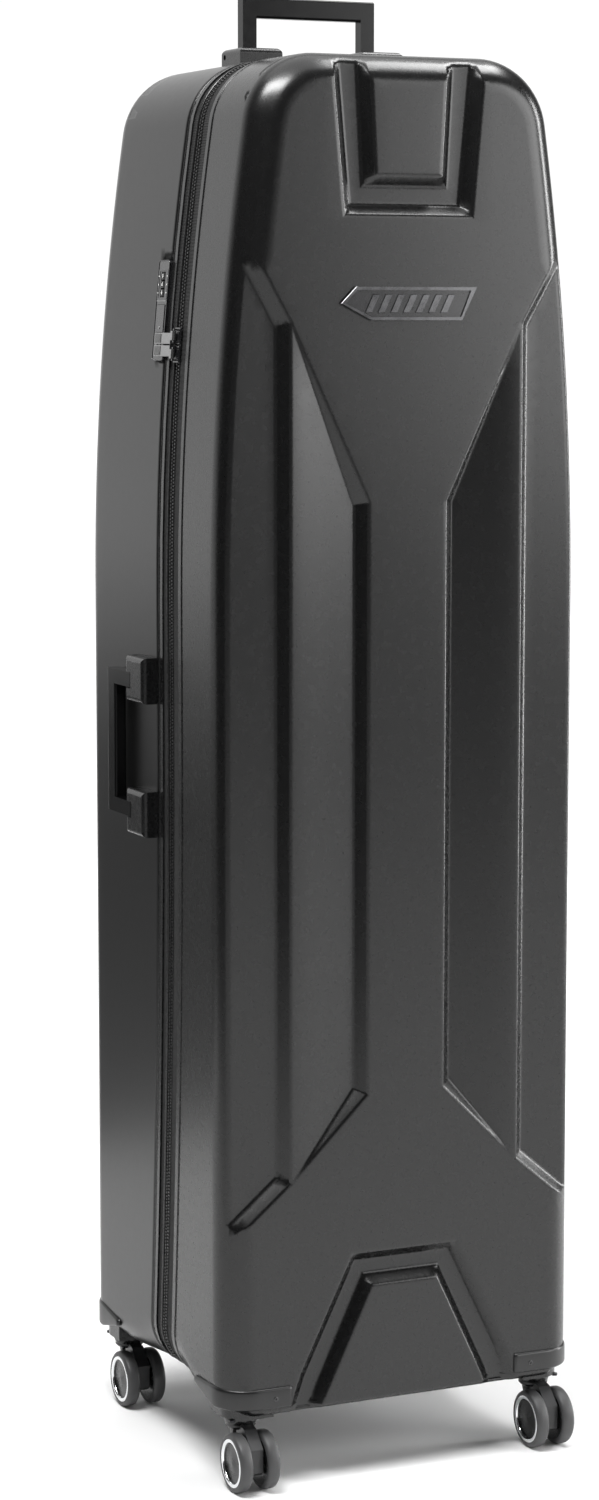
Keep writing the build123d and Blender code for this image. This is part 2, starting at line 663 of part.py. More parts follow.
# ---------------------------------------------------------------- zip sliders and pulls
def slider():
    """Zip slider: outer plate, inner plate, the post between them and the bridge."""
    body = block((-SLIDER_HALF_X, SLIDER_HALF_X), (-SLIDER_HALF_Y, SLIDER_HALF_Y), (SLIDER_LOW, SLIDER_TOP))
    body += block((-INNER_HALF_X, INNER_HALF_X), (-SLIDER_HALF_Y, SLIDER_HALF_Y), (INNER_LOW, INNER_TOP))
    body += block((-WEDGE_HALF_X, WEDGE_HALF_X), (-WEDGE_HALF_Y, WEDGE_HALF_Y), (INNER_LOW, SLIDER_TOP))
    post = BRIDGE_HALF + BRIDGE_RADIUS
    for end in (-1, 1):
        y = sorted((end * BRIDGE_HALF, end * (post + BRIDGE_FOOT_Y)))
        body += block((-BRIDGE_FOOT_X, BRIDGE_FOOT_X), y, (SLIDER_TOP, BRIDGE_Z + BRIDGE_RADIUS))
    return body + rod_y(BRIDGE_RADIUS, -post, post, 0, BRIDGE_Z)


def pull(shift):
    """Flat metal tab on the slider's bridge, pointing back and shifted along the seam."""
    eye_half = BRIDGE_HALF - EYE_GAP
    sheet = (BRIDGE_Z - PULL_THICK / 2, BRIDGE_Z + PULL_THICK / 2)
    eye = rod_y(PULL_EYE, -eye_half, eye_half, 0, BRIDGE_Z)
    neck = block((-PULL_NECK, 0), (-eye_half, eye_half), sheet)
    tab = block((-PULL_LENGTH, -PULL_NECK), (shift - PULL_WIDTH / 2, shift + PULL_WIDTH / 2), sheet)
    return eye + neck + tab - rod_y(BRIDGE_RADIUS + RUN_FIT, -PULL_WIDTH, PULL_WIDTH, 0, BRIDGE_Z)


for name, z, shift in (("upper", UPPER_SLIDER_Z, -PULL_SHIFT), ("lower", LOWER_SLIDER_Z, PULL_SHIFT)):
    frame = side_frame_at(z, SEAM_Y)
    nodes[f"{name}_slider"] = frame * slider()
    nodes[f"{name}_pull"] = frame * pull(shift)

# ---------------------------------------------------------------- hinges on the right side
AXIS_X = HALF_W + HINGE_PROUD


def leaf(z_mid, direction):
    """One leaf with its knuckles; direction +1 is the back leaf, -1 the front leaf."""
    half = HINGE_LENGTH / 2
    y = sorted((SEAM_Y + direction * LEAF_START, SEAM_Y + direction * LEAF_REACH))
    body = block((HALF_W, HALF_W + LEAF_THICK), y, (z_mid - half, z_mid + half))
    pitch = HINGE_LENGTH / KNUCKLES
    for index in range(0 if direction > 0 else 1, KNUCKLES, 2):
        low = z_mid - half + index * pitch + KNUCKLE_GAP / 2
        high = low + pitch - KNUCKLE_GAP
        body += rod_z(KNUCKLE, low, high, AXIS_X, SEAM_Y)
        web = sorted((SEAM_Y, SEAM_Y + direction * (LEAF_START + 1)))
        body += block((HALF_W, HALF_W + LEAF_THICK), web, (low, high))
    bore = HINGE_PIN if direction > 0 else HINGE_PIN + RUN_FIT
    return body - rod_z(bore, z_mid - half - 1, z_mid + half + 1, AXIS_X, SEAM_Y)


nodes["back_hinge_leaves"] = group([leaf(z, 1) for z in HINGE_Z])
nodes["front_hinge_leaves"] = group([leaf(z, -1) for z in HINGE_Z])
nodes["hinge_pins"] = group([rod_z(HINGE_PIN, z - HINGE_LENGTH / 2, z + HINGE_LENGTH / 2, AXIS_X, SEAM_Y)
                             for z in HINGE_Z])

# ---------------------------------------------------------------- inside straps
strap_y = LINING_Y - LINING_THICK - STRAP_GAP
straps = []
buckles = []
for z in STRAP_Z:
    straps.append(block((-STRAP_HALF_X, STRAP_HALF_X), (strap_y - STRAP_THICK, strap_y),
                        (z - STRAP_WIDTH / 2, z + STRAP_WIDTH / 2)))
    buckle = Pos(0, strap_y - STRAP_THICK - BUCKLE[1] / 2, z) * Box(*BUCKLE)
    buckles.append(fillet(buckle.edges().filter_by(Axis.Y), BUCKLE_ROUND))
nodes["compression_straps"] = group(straps)
nodes["strap_buckles"] = group(buckles)

# ---------------------------------------------------------------- export
left_reach = HALF_W + MOUNT_PROUD
right_reach = HALF_W + HINGE_PROUD + KNUCKLE
front_reach = DEPTH / 2 - STEM_INSET + TRAIL + WHEEL_RADIUS
back_reach = DEPTH / 2 + GUARD_PROUD
ORIGIN = Pos((left_reach - right_reach) / 2, (front_reach - back_reach) / 2, 0)

os.makedirs("parts", exist_ok=True)
for node, shape in nodes.items():
    export_step(ORIGIN * shape, f"parts/{node}.step")
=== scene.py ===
"""Golf travel case: looks. Shapes are worked out in case millimetres and placed in frame metres."""
import math

import bmesh
import bpy
import numpy as np
from mathutils import Matrix, Vector
from mathutils.geometry import delaunay_2d_cdt


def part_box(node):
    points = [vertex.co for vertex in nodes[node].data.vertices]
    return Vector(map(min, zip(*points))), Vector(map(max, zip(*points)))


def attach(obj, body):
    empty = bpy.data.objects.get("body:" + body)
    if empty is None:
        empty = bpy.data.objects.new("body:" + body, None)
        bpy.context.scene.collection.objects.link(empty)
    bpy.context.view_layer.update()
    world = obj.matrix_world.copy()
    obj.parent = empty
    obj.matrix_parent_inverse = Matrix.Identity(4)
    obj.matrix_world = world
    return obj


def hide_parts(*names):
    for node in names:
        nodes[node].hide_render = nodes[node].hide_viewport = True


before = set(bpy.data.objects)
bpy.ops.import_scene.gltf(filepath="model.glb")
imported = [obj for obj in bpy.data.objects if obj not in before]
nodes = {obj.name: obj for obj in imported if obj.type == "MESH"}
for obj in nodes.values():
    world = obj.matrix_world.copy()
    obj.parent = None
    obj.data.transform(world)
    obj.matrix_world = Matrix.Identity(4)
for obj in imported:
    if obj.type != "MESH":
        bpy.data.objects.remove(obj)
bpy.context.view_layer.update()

# ---------------------------------------------------------------- case dimensions, millimetres
# The sizes that the frame doesn't give are the ones that part.py is driven by.
MM = 0.001
front_low, front_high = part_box("front_shell")
_, back_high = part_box("back_shell")
CENTRE_X = (front_low.x + front_high.x) / 2
CENTRE_Y = (front_low.y + back_high.y) / 2
HALF_W = (front_high.x - front_low.x) / 2 / MM
HALF_D = (back_high.y - front_low.y) / 2 / MM
TOP = front_high.z / MM
BOTTOM = front_low.z / MM
SHOULDER_Z, SIDE_RADIUS = 810, 2940
TOP_CORNER, BOTTOM_CORNER, SQUARE_CORNER = 68, 52, 34
EDGE_ROUND, FOOT_ROUND = 32, 10
SEAM_FROM_FRONT, SEAM_BEND_Z, SEAM_RADIUS, SEAM_HALF = 125, 720, 7500, 27
SHELL_WALL = 3
RECESS, STEP_RUN = 12, 10.7
LOCK_Z, LOCK_Y = 1074, -3.5
LOCK_W, LOCK_L = 26, 92


def place(points):
    """Case millimetres (origin on the floor under the shell's centre) to frame metres."""
    pts = np.asarray(points, float).reshape(-1, 3) * MM
    pts[:, 0] += CENTRE_X
    pts[:, 1] += CENTRE_Y
    return pts


# ---------------------------------------------------------------- materials
COAT_ROUGHNESS = 0.12
ROUGH_SPOT_MM = 7      # size of the spots in which the roughness varies


def link(tree, a, b):
    tree.links.new(a, b)


def map_range(tree, value, source, target, interpolation="LINEAR"):
    """Output of a Map Range node; source and target are (min, max)."""
    node = tree.nodes.new("ShaderNodeMapRange")
    node.interpolation_type = interpolation
    for name, number in zip(("From Min", "From Max", "To Min", "To Max"), (*source, *target)):
        node.inputs[name].default_value = number
    link(tree, value, node.inputs["Value"])
    return node.outputs["Result"]


def combine(tree, operation, a, b):
    """Output of a Math node on two others."""
    node = tree.nodes.new("ShaderNodeMath")
    node.operation = operation
    link(tree, a, node.inputs[0])
    link(tree, b, node.inputs[1])
    return node.outputs["Value"]


def surface(name, colour, rough, metallic=0.0, vary=0.0, rough_vary=0.05, bump=0.0, bump_mm=0.6,
            grain="noise", coat=0.0, spread_mm=45.0, specular=0.5):
    """Procedural material: cloudy tint, roughness variation and a fine bump."""
    mat = bpy.data.materials.new(name)
    mat.use_nodes = True
    tree = mat.node_tree
    bsdf = tree.nodes["Principled BSDF"]
    bsdf.inputs["Metallic"].default_value = metallic
    bsdf.inputs["Specular IOR Level"].default_value = specular
    if coat:
        bsdf.inputs["Coat Weight"].default_value = coat
        bsdf.inputs["Coat Roughness"].default_value = COAT_ROUGHNESS
    coords = tree.nodes.new("ShaderNodeTexCoord")
    cloud = tree.nodes.new("ShaderNodeTexNoise")
    cloud.inputs["Scale"].default_value = 1 / (spread_mm * MM)
    cloud.inputs["Detail"].default_value = 5
    link(tree, coords.outputs["Object"], cloud.inputs["Vector"])
    ramp = tree.nodes.new("ShaderNodeMix")
    ramp.data_type = "RGBA"
    low = [max(0.0, c * (1 - vary)) for c in colour]
    high = [min(1.0, c * (1 + vary)) for c in colour]
    ramp.inputs["A"].default_value = (*low, 1)
    ramp.inputs["B"].default_value = (*high, 1)
    link(tree, cloud.outputs["Fac"], ramp.inputs["Factor"])
    link(tree, ramp.outputs["Result"], bsdf.inputs["Base Color"])
    fine = tree.nodes.new("ShaderNodeTexNoise")
    fine.inputs["Scale"].default_value = 1 / (ROUGH_SPOT_MM * MM)
    fine.inputs["Detail"].default_value = 6
    link(tree, coords.outputs["Object"], fine.inputs["Vector"])
    limits = (max(0.02, rough - rough_vary), min(1.0, rough + rough_vary))
    link(tree, map_range(tree, fine.outputs["Fac"], (0.3, 0.7), limits), bsdf.inputs["Roughness"])
    if bump:
        if grain == "cells":
            tex = tree.nodes.new("ShaderNodeTexVoronoi")
            height = tex.outputs["Distance"]
        elif grain == "weave":
            tex = tree.nodes.new("ShaderNodeTexWave")
            tex.inputs["Distortion"].default_value = 1.2
            tex.inputs["Detail"].default_value = 2
            height = tex.outputs["Fac"]
        else:
            tex = tree.nodes.new("ShaderNodeTexNoise")
            tex.inputs["Detail"].default_value = 3
            height = tex.outputs["Fac"]
        tex.inputs["Scale"].default_value = 1 / (bump_mm * MM)
        link(tree, coords.outputs["Object"], tex.inputs["Vector"])
        relief = tree.nodes.new("ShaderNodeBump")
        relief.inputs["Strength"].default_value = 1
        relief.inputs["Distance"].default_value = bump * MM
        link(tree, height, relief.inputs["Height"])
        link(tree, relief.outputs["Normal"], bsdf.inputs["Normal"])
    return mat


MATS = {
    "shell": surface("shell", (0.0032, 0.0032, 0.0033), 0.27, vary=0.15, rough_vary=0.012, bump=0.003,
                     bump_mm=1.2),
    # the back half's copy of the shell: same colour, but rougher and less reflective so that the back half
    # reads darker, as painted shade
    "shell_back_painted_shade": surface("shell_back_painted_shade", (0.0032, 0.0032, 0.0033), 0.29, vary=0.15, rough_vary=0.012,
                          bump=0.003, bump_mm=1.2, specular=0.4),
    "guard": surface("guard", (0.006, 0.006, 0.0062), 0.33, vary=0.12, rough_vary=0.02,
                     bump=0.006, bump_mm=0.9),
    "black_plastic": surface("black_plastic", (0.004, 0.004, 0.0042), 0.27, vary=0.15,
                             rough_vary=0.03, bump=0.005, bump_mm=0.8),
    "handle": surface("handle", (0.003, 0.003, 0.0031), 0.2, vary=0.1, rough_vary=0.02,
                      bump=0.004, bump_mm=0.8, specular=0.22),
    "dark_steel": surface("dark_steel", (0.03, 0.03, 0.032), 0.35, metallic=1, vary=0.1, bump=0.01,
                          bump_mm=0.7),
    "lip": surface("lip", (0.006, 0.006, 0.0062), 0.27, vary=0.1, rough_vary=0.02, bump=0.004, bump_mm=0.9),
    "lining": surface("lining", (0.045, 0.047, 0.052), 0.85, vary=0.25, rough_vary=0.1, bump=0.25,
                      bump_mm=1.6, grain="weave", spread_mm=60),
    "zip_tape": surface("zip_tape", (0.004, 0.004, 0.0042), 0.8, vary=0.2, bump=0.25, bump_mm=1.1,
                        grain="weave"),
    "zip_coil": surface("zip_coil", (0.006, 0.006, 0.0062), 0.28, vary=0.1, bump=0.01, bump_mm=0.8),
    "tyre": surface("tyre", (0.045, 0.045, 0.046), 0.5, vary=0.12, bump=0.02, bump_mm=0.9),
    "wheel_hub": surface("wheel_hub", (0.005, 0.005, 0.0052), 0.25, vary=0.1, bump=0.006, bump_mm=0.9),
    "bright_trim": surface("bright_trim", (0.82, 0.83, 0.84), 0.16, metallic=1, vary=0.05, rough_vary=0.05,
                           bump=0.01, bump_mm=1.5),
    "badge": surface("badge", (0.10, 0.10, 0.103), 0.2, metallic=1, vary=0.06, rough_vary=0.05,
                     bump=0.01, bump_mm=1.5),
    "fork": surface("fork", (0.02, 0.02, 0.021), 0.38, vary=0.12, bump=0.01, bump_mm=0.9),
    "black_metal": surface("black_metal", (0.012, 0.012, 0.013), 0.24, metallic=0.2, vary=0.1,
                           bump=0.02, bump_mm=1.0, coat=0.4),
    "gunmetal": surface("gunmetal", (0.30, 0.30, 0.30), 0.3, metallic=1, vary=0.08, bump=0.02, bump_mm=0.7),
    "steel": surface("steel", (0.55, 0.55, 0.56), 0.28, metallic=1, vary=0.08, bump=0.02, bump_mm=0.7),
    "dial": surface("dial", (0.012, 0.012, 0.012), 0.4, vary=0.1, bump=0.02, bump_mm=0.6),
    "webbing": surface("webbing", (0.02, 0.02, 0.022), 0.8, vary=0.2, bump=0.3, bump_mm=1.8, grain="weave"),
    "mark": surface("mark", (0.75, 0.75, 0.73), 0.5, vary=0.04, bump=0.01, bump_mm=0.5),
}


def paint(obj, key):
    obj.data.materials.clear()
    obj.data.materials.append(MATS[key])


# ---------------------------------------------------------------- mesh helpers
WELD = 1e-6            # metres


def scene_object(name, data):
    obj = bpy.data.objects.new(name, data)
    bpy.context.scene.collection.objects.link(obj)
    return obj


def new_mesh(name, verts, faces, key, sharp_deg=None):
    """Mesh object from frame metres; edges sharper than sharp_deg stay crisp."""
    mesh = bpy.data.meshes.new(name)
    mesh.from_pydata([tuple(v) for v in verts], [], [tuple(f) for f in faces])
    mesh.validate()
    mesh.update()
    obj = scene_object(name, mesh)
    bm = bmesh.new()
    bm.from_mesh(mesh)
    bmesh.ops.remove_doubles(bm, verts=bm.verts, dist=WELD)
    bmesh.ops.recalc_face_normals(bm, faces=bm.faces)
    bm.to_mesh(mesh)
    bm.free()
    mesh.shade_smooth()
    if sharp_deg is not None:
        mesh.set_sharp_from_angle(angle=math.radians(sharp_deg))
    paint(obj, key)
    return obj


def soften(obj, width_mm):
    """Small rounded edges by a bevel modifier."""
    bevel = obj.modifiers.new("edge", "BEVEL")
    bevel.width = width_mm * MM
    bevel.segments = 2
    bevel.limit_method = "ANGLE"
    bevel.angle_limit = math.radians(30)
    bevel.use_clamp_overlap = True
    bevel.harden_normals = False


def sleeve_faces(rows, cols, offset=0):
    """Quads between rings of points, each ring closed on itself."""
    faces = []
    for r in range(rows - 1):
        for c in range(cols):
            d = (c + 1) % cols
            a = offset + r * cols
            faces.append((a + c, a + d, a + cols + d, a + cols + c))
    return faces


def ring_faces(rows, cols):
    """Sleeve whose last ring joins its first."""
    last = (rows - 1) * cols
    seam = [(last + c, last + (c + 1) % cols, (c + 1) % cols, c) for c in range(cols)]
    return sleeve_faces(rows, cols) + seam


def full_turn(segments):
    return np.linspace(0, 2 * math.pi, segments, endpoint=False)


LATHE_SHARP_DEG = 35


def lathe_x(name, profile, centre, key, segments):
    """Solid of revolution about X: profile is a closed loop of (x, radius) in millimetres."""
    verts = [(centre[0] + x, centre[1] + r * math.cos(a), centre[2] + r * math.sin(a))
             for x, r in profile for a in full_turn(segments)]
    faces = ring_faces(len(profile), segments)
    return new_mesh(name, place(verts), faces, key, LATHE_SHARP_DEG)


def lathe_z(name, profile, centre, key, segments):
    """Solid of revolution about Z: profile is a closed loop of (radius, z) in millimetres."""
    verts = [(centre[0] + r * math.cos(a), centre[1] + r * math.sin(a), z)
             for r, z in profile for a in full_turn(segments)]
    faces = ring_faces(len(profile), segments)
    return new_mesh(name, place(verts), faces, key, LATHE_SHARP_DEG)


# ---------------------------------------------------------------- shell outline
CORNER_CLEAR = 6       # the straight side starts this far above the widest bottom corner


def outline_samples(corner):
    """Closed outline from the bottom centre, right half first: points, inward normals and turns.

    A turn goes from 0 along the foot to 1 up the side, and edge_radius reads it."""
    half, radius = HALF_W, SIDE_RADIUS
    # the right half comes first and is mirrored afterwards
    bottom_c = (half - corner, BOTTOM + corner)
    path = []
    for x in np.linspace(0, half - corner, 14, endpoint=False):
        path.append(((x, BOTTOM), (0, 1), 0.0))
    for a in np.linspace(-90, 0, 15):
        c, s = math.cos(math.radians(a)), math.sin(math.radians(a))
        turn = (a + 90) / 90
        path.append(((bottom_c[0] + corner * c, bottom_c[1] + corner * s), (-c, -s), turn))
    for z in np.linspace(BOTTOM + BOTTOM_CORNER + CORNER_CLEAR, SHOULDER_Z, 40):
        path.append(((half, z), (-1, 0), 1.0))
    # the leaning side is an arc that a corner arc joins to the flat top
    inner = radius - TOP_CORNER
    drop = TOP - TOP_CORNER - SHOULDER_Z
    centre_x = half - radius
    cx = centre_x + math.sqrt(inner**2 - drop**2)
    cz = TOP - TOP_CORNER
    end = math.atan2(cz - SHOULDER_Z, cx - centre_x)
    for a in np.linspace(0, end, 40)[1:]:
        c, s = math.cos(a), math.sin(a)
        path.append(((centre_x + radius * c, SHOULDER_Z + radius * s), (-c, -s), 1.0))
    for a in np.linspace(end, math.pi / 2, 16)[1:]:
        c, s = math.cos(a), math.sin(a)
        path.append(((cx + TOP_CORNER * c, cz + TOP_CORNER * s), (-c, -s), 1.0))
    for x in np.linspace(cx, 0, 10)[1:]:
        path.append(((x, TOP), (0, -1), 1.0))
    right = path[:-1]
    left = [((-p[0], p[1]), (-n[0], n[1]), t) for p, n, t in reversed(path[1:])]
    points, normals, turns = zip(*right, *left)
    return np.array(points), np.array(normals), np.array(turns)


def edge_radius(turn):
    """Rounding between face and side: small along the foot, full size up the sides."""
    blend = turn * turn * (3 - 2 * turn)
    return FOOT_ROUND + (EDGE_ROUND - FOOT_ROUND) * blend


def seam_shift(z):
    """How far the seam has curved toward the back at a height."""
    z = np.minimum(z, SEAM_BEND_Z)
    return SEAM_RADIUS - np.sqrt(SEAM_RADIUS**2 - (SEAM_BEND_Z - z) ** 2)


# ---------------------------------------------------------------- pattern on the faces
INNER_X, OUTER_X = 38, 115
INNER_TOP_Z, OUTER_TOP_Z = 903, 1063
INNER_LOW_Z, OUTER_LOW_Z = 361, 285
SIDE_OUT = 221
TOP_LEAN, LOW_LEAN = 78 / 45, 53 / 63      # rise over run of the side panel's two slanted edges
RUN = SIDE_OUT - OUTER_X
PANEL = [(OUTER_X, OUTER_TOP_Z), (OUTER_X, OUTER_LOW_Z),
         (SIDE_OUT, OUTER_LOW_Z - RUN * LOW_LEAN), (SIDE_OUT, OUTER_TOP_Z + RUN * TOP_LEAN)]
CROWN = [(-64, 1157), (64, 1157), (81, 1345), (-81, 1345)]
CROWN_ISLAND = [(-32, 1194), (32, 1194), (41, 1365), (-41, 1365)]
FOOT = [(54, 214), (108, 104), (135, 24), (-135, 24), (-108, 104), (-54, 214)]
FOOT_ISLAND = [(32.5, 180), (80, 80), (104, 4), (-104, 4), (-80, 80), (-32.5, 180)]
RAMP = [(INNER_X, INNER_TOP_Z), (INNER_X, INNER_LOW_Z), (OUTER_X, OUTER_LOW_Z), (OUTER_X, OUTER_TOP_Z)]
SOFT_EDGE = 2.4        # width over which two surfaces round into each other
MITRE_EDGE = 0.4       # the same where two walls of one recess meet


def soft_max(a, b, k=SOFT_EDGE):
    """Greater of two values, blended where they are within k of each other."""
    h = np.maximum(k - np.abs(a - b), 0) / k
    return np.maximum(a, b) + h * h * k / 4


def soft_min(a, b, k=SOFT_EDGE):
    return -soft_max(-a, -b, k)


def half_planes(poly):
    """Inward unit normals and offsets of a convex or nearly convex outline."""
    area = sum(x0 * z1 - x1 * z0 for (x0, z0), (x1, z1) in zip(poly, poly[1:] + poly[:1]))
    sign = 1 if area > 0 else -1
    planes = []
    for (x0, z0), (x1, z1) in zip(poly, poly[1:] + poly[:1]):
        dx, dz = x1 - x0, z1 - z0
        size = math.hypot(dx, dz)
        nx, nz = -dz / size * sign, dx / size * sign
        planes.append((nx, nz, -(nx * x0 + nz * z0)))
    return planes


def inside_distance(poly, x, z):
    """Distance inside a convex outline, rounded slightly where its edges meet."""
    result = None
    for nx, nz, c in half_planes(poly):
        d = nx * x + nz * z + c
        result = d if result is None else soft_min(result, d, MITRE_EDGE)
    return result


def well(poly, x, z):
    """Depth of a flat-floored recess with sloping walls."""
    wall = inside_distance(poly, x, z) * RECESS / STEP_RUN
    return soft_min(soft_max(wall, np.zeros_like(x)), np.full_like(x, RECESS))


def ramp_depth(x, z):
    """Panel that starts deep at its inner edge and runs out to the face at its outer edge."""
    slope = RECESS / (OUTER_X - INNER_X - STEP_RUN)
    climb = (OUTER_X - x) * slope
    wall = inside_distance(RAMP, x, z) * RECESS / STEP_RUN
    return soft_max(soft_min(wall, climb), np.zeros_like(x))


def pattern_depth(x, z):
    """Depth of the moulded pattern below the face, in millimetres."""
    ax = np.abs(x)
    depth = soft_max(well(PANEL, ax, z), ramp_depth(ax, z))
    crown = soft_min(well(CROWN, x, z), RECESS - well_rise(CROWN_ISLAND, x, z))
    foot = soft_min(well(FOOT, x, z), RECESS - well_rise(FOOT_ISLAND, x, z))
    return soft_max(depth, soft_max(crown, foot))


def well_rise(poly, x, z):
    """Height of a raised island above the recess floor; its foot lies outside its top outline."""
    rise = RECESS + inside_distance(poly, x, z) * RECESS / STEP_RUN
    return soft_min(soft_max(rise, np.zeros_like(x)), np.full_like(x, RECESS))


def mirrored(lines):
    return [((-a[0], a[1]), (-b[0], b[1])) for a, b in lines]


def crease_lines():
    """Every edge of the pattern, on both sides and across the middle, as (start, end) pairs."""
    def loops(poly, shrink):
        """Edges of an outline moved inward by shrink."""
        planes = half_planes(poly)
        corners = []
        for i in range(len(planes)):
            (a, b, c), (d, e, f) = planes[i - 1], planes[i]
            det = a * e - b * d
            c2, f2 = c - shrink, f - shrink
            corners.append(((b * f2 - c2 * e) / det, (c2 * d - a * f2) / det))
        return list(zip(corners, corners[1:] + corners[:1]))

    lines = []
    for right in (loops(PANEL, 0) + loops(PANEL, STEP_RUN), loops(RAMP, 0)):
        lines += right + mirrored(right)
    reach = OUTER_X - INNER_X
    floor_x = INNER_X + STEP_RUN
    top_rate = (OUTER_TOP_Z - INNER_TOP_Z) / reach
    low_rate = (INNER_LOW_Z - OUTER_LOW_Z) / reach
    nip_top = STEP_RUN * math.hypot(1, top_rate) - STEP_RUN * top_rate
    nip_low = STEP_RUN * math.hypot(1, low_rate) - STEP_RUN * low_rate
    floor_top = (floor_x, INNER_TOP_Z - nip_top)
    floor_low = (floor_x, INNER_LOW_Z + nip_low)
    ramp = [(floor_top, floor_low), (floor_top, (OUTER_X, OUTER_TOP_Z)), (floor_low, (OUTER_X, OUTER_LOW_Z)),
            (floor_top, (INNER_X, INNER_TOP_Z)), (floor_low, (INNER_X, INNER_LOW_Z))]
    lines += ramp + mirrored(ramp)
    for poly in (CROWN, FOOT):
        lines += loops(poly, 0) + loops(poly, STEP_RUN)
    for poly in (CROWN_ISLAND, FOOT_ISLAND):
        lines += loops(poly, 0) + loops(poly, -STEP_RUN)
    return lines


ROUND_DEG = (90, 80, 70, 60, 50, 40, 30, 22, 14, 7, 2.5, 0)     # rings of the rounded border
CREASE_OFFSETS = (-2.4, -1.5, -0.7, 0, 0.7, 1.5, 2.4)           # rows of points beside a crease
CREASE_STEP, CREASE_OVERRUN, CREASE_CLEAR = 7, 1.2, 1.0
CREASE_EDGE = 0.9      # softness where the pattern meets the rounded border
FILLER_STEP = 17
FILLER_SHIFT = (0.37, 0.41)     # keeps the grid off the outline's own straight lines
FILLER_GAP = 4         # filler points stay this far from creases and the rounding
BAND_LEVELS = (0.0, 0.12, 0.25, 0.38, 0.5, 0.62, 0.72, 0.79, 0.845, 0.9, 0.95, 1.0)
SQUARE_DEPTH = 75      # the square bottom corners widen from here to the lip
FLAT_WELD, BAND_WELD = 0.02, 0.00003       # millimetres in the flat mesh, metres in the shell
BORDER_BATCH = 2000    # points compared with the outline at a time


class Shell:
    """One moulded half: the patterned face, its rounding, the side band and the lip."""

    def __init__(self, name, direction, key):
        self.name = name
        self.key = key
        self.direction = direction        # -1 front, +1 back
        self.pts, self.nrm, turn = outline_samples(SQUARE_CORNER)
        self.wide_pts, _, _ = outline_samples(BOTTOM_CORNER)
        self.radius = edge_radius(turn)

    def face_y(self, depth):
        return self.direction * (HALF_D - depth)

    def border(self, p):
        """Distance of each point from the outline, and the rounding there."""
        a = self.pts
        b = np.roll(a, -1, 0)
        ab = b - a
        length2 = (ab**2).sum(1)
        best = np.full(len(p), 1e9)
        radius = np.zeros(len(p))
        for start in range(0, len(p), BORDER_BATCH):
            batch = slice(start, start + BORDER_BATCH)
            q = p[batch, None, :]
            t = np.clip(((q - a) * ab).sum(2) / length2, 0, 1)
            d = np.linalg.norm(q - (a + ab * t[..., None]), axis=2)
            i = d.argmin(1)
            rows = np.arange(len(i))
            best[batch] = d[rows, i]
            ti = t[rows, i]
            radius[batch] = self.radius[i] * (1 - ti) + np.roll(self.radius, -1)[i] * ti
        return best, radius

    def round_depth(self, x, z):
        """Depth of the rounded border below the flat face."""
        best, radius = self.border(np.stack([x, z], 1))
        u = np.clip(radius - best, 0, radius)
        return radius - np.sqrt(np.maximum(radius**2 - u**2, 0))

    def depth(self, x, z):
        return soft_max(self.round_depth(x, z), pattern_depth(x, z), CREASE_EDGE)

    def build(self):
        """Mesh the face in plan, with rings round its border and rows along each crease, then lift it."""
        count = len(self.pts)
        rings = [self.pts + self.nrm * (self.radius * (1 - math.cos(a)))[:, None]
                 for a in np.radians(ROUND_DEG)]
        flat = [tuple(p) for ring in rings for p in ring]
        edges = []
        for k in range(len(rings)):
            base = k * count
            edges += [(base + i, base + (i + 1) % count) for i in range(count)]
        for a, b in crease_lines():
            a, b = np.array(a), np.array(b)
            along = (b - a) / np.linalg.norm(b - a)
            side = np.array([-along[1], along[0]])
            for offset in CREASE_OFFSETS:
                steps = max(2, int(np.linalg.norm(b - a) / CREASE_STEP))
                line = np.array([a - along * CREASE_OVERRUN + side * offset
                                 + (b - a + along * 2 * CREASE_OVERRUN) * t
                                 for t in np.linspace(0, 1, steps)])
                clear = self.inside(line) & (self.border(line)[0] > CREASE_CLEAR)
                base = len(flat)
                flat += [tuple(p) for p in line]
                edges += [(base + i, base + i + 1) for i in range(steps - 1)
                          if clear[i] and clear[i + 1]]
        flat += self.filler_points()
        verts, _, faces, _, _, _ = delaunay_2d_cdt([Vector(p) for p in flat], edges, [], 0, FLAT_WELD)
        v2 = np.array([tuple(v) for v in verts])
        keep = self.inside(np.array([v2[list(f)].mean(0) for f in faces]))
        faces = [f if self.direction < 0 else f[::-1] for f, k in zip(faces, keep) if k]
        used = sorted({i for f in faces for i in f})
        index = {old: new for new, old in enumerate(used)}
        v2 = v2[used]
        faces = [tuple(index[i] for i in f) for f in faces]
        x, z = v2[:, 0], v2[:, 1]
        depth = self.depth(x, z)
        verts3 = np.stack([x, self.face_y(depth), z], 1)
        return self.finish(verts3, faces)

    def filler_points(self):
        """Grid over the flat areas, clear of the creases and of the rounded border."""
        grid = np.array([(x + FILLER_SHIFT[0], z + FILLER_SHIFT[1])
                         for x in np.arange(-10, 11) * FILLER_STEP
                         for z in np.arange(80, TOP, FILLER_STEP)])
        best, radius = self.border(grid)
        clear = self.inside(grid) & (best > radius + FILLER_GAP)
        for a, b in crease_lines():
            a, b = np.array(a), np.array(b)
            t = np.clip((grid - a) @ (b - a) / ((b - a) @ (b - a)), 0, 1)
            clear &= np.linalg.norm(grid - (a + t[:, None] * (b - a)), axis=1) > FILLER_GAP
        return [tuple(p) for p in grid[clear]]

    def inside(self, p):
        """Which points lie inside the outline, by counting crossings."""
        inside = np.zeros(len(p), bool)
        for (x0, z0), (x1, z1) in zip(self.pts, np.roll(self.pts, -1, 0)):
            if z0 == z1:
                continue
            cross = (z0 > p[:, 1]) != (z1 > p[:, 1])
            xi = x0 + (p[:, 1] - z0) * (x1 - x0) / (z1 - z0)
            inside ^= cross & (p[:, 0] < xi)
        return inside

    def band_depths(self):
        """Depth of the lip below this half's face, at each outline point."""
        z = self.wide_pts[:, 1]
        if self.direction < 0:
            return SEAM_FROM_FRONT - SEAM_HALF + seam_shift(z)
        return 2 * HALF_D - (SEAM_FROM_FRONT + SEAM_HALF) - seam_shift(z)

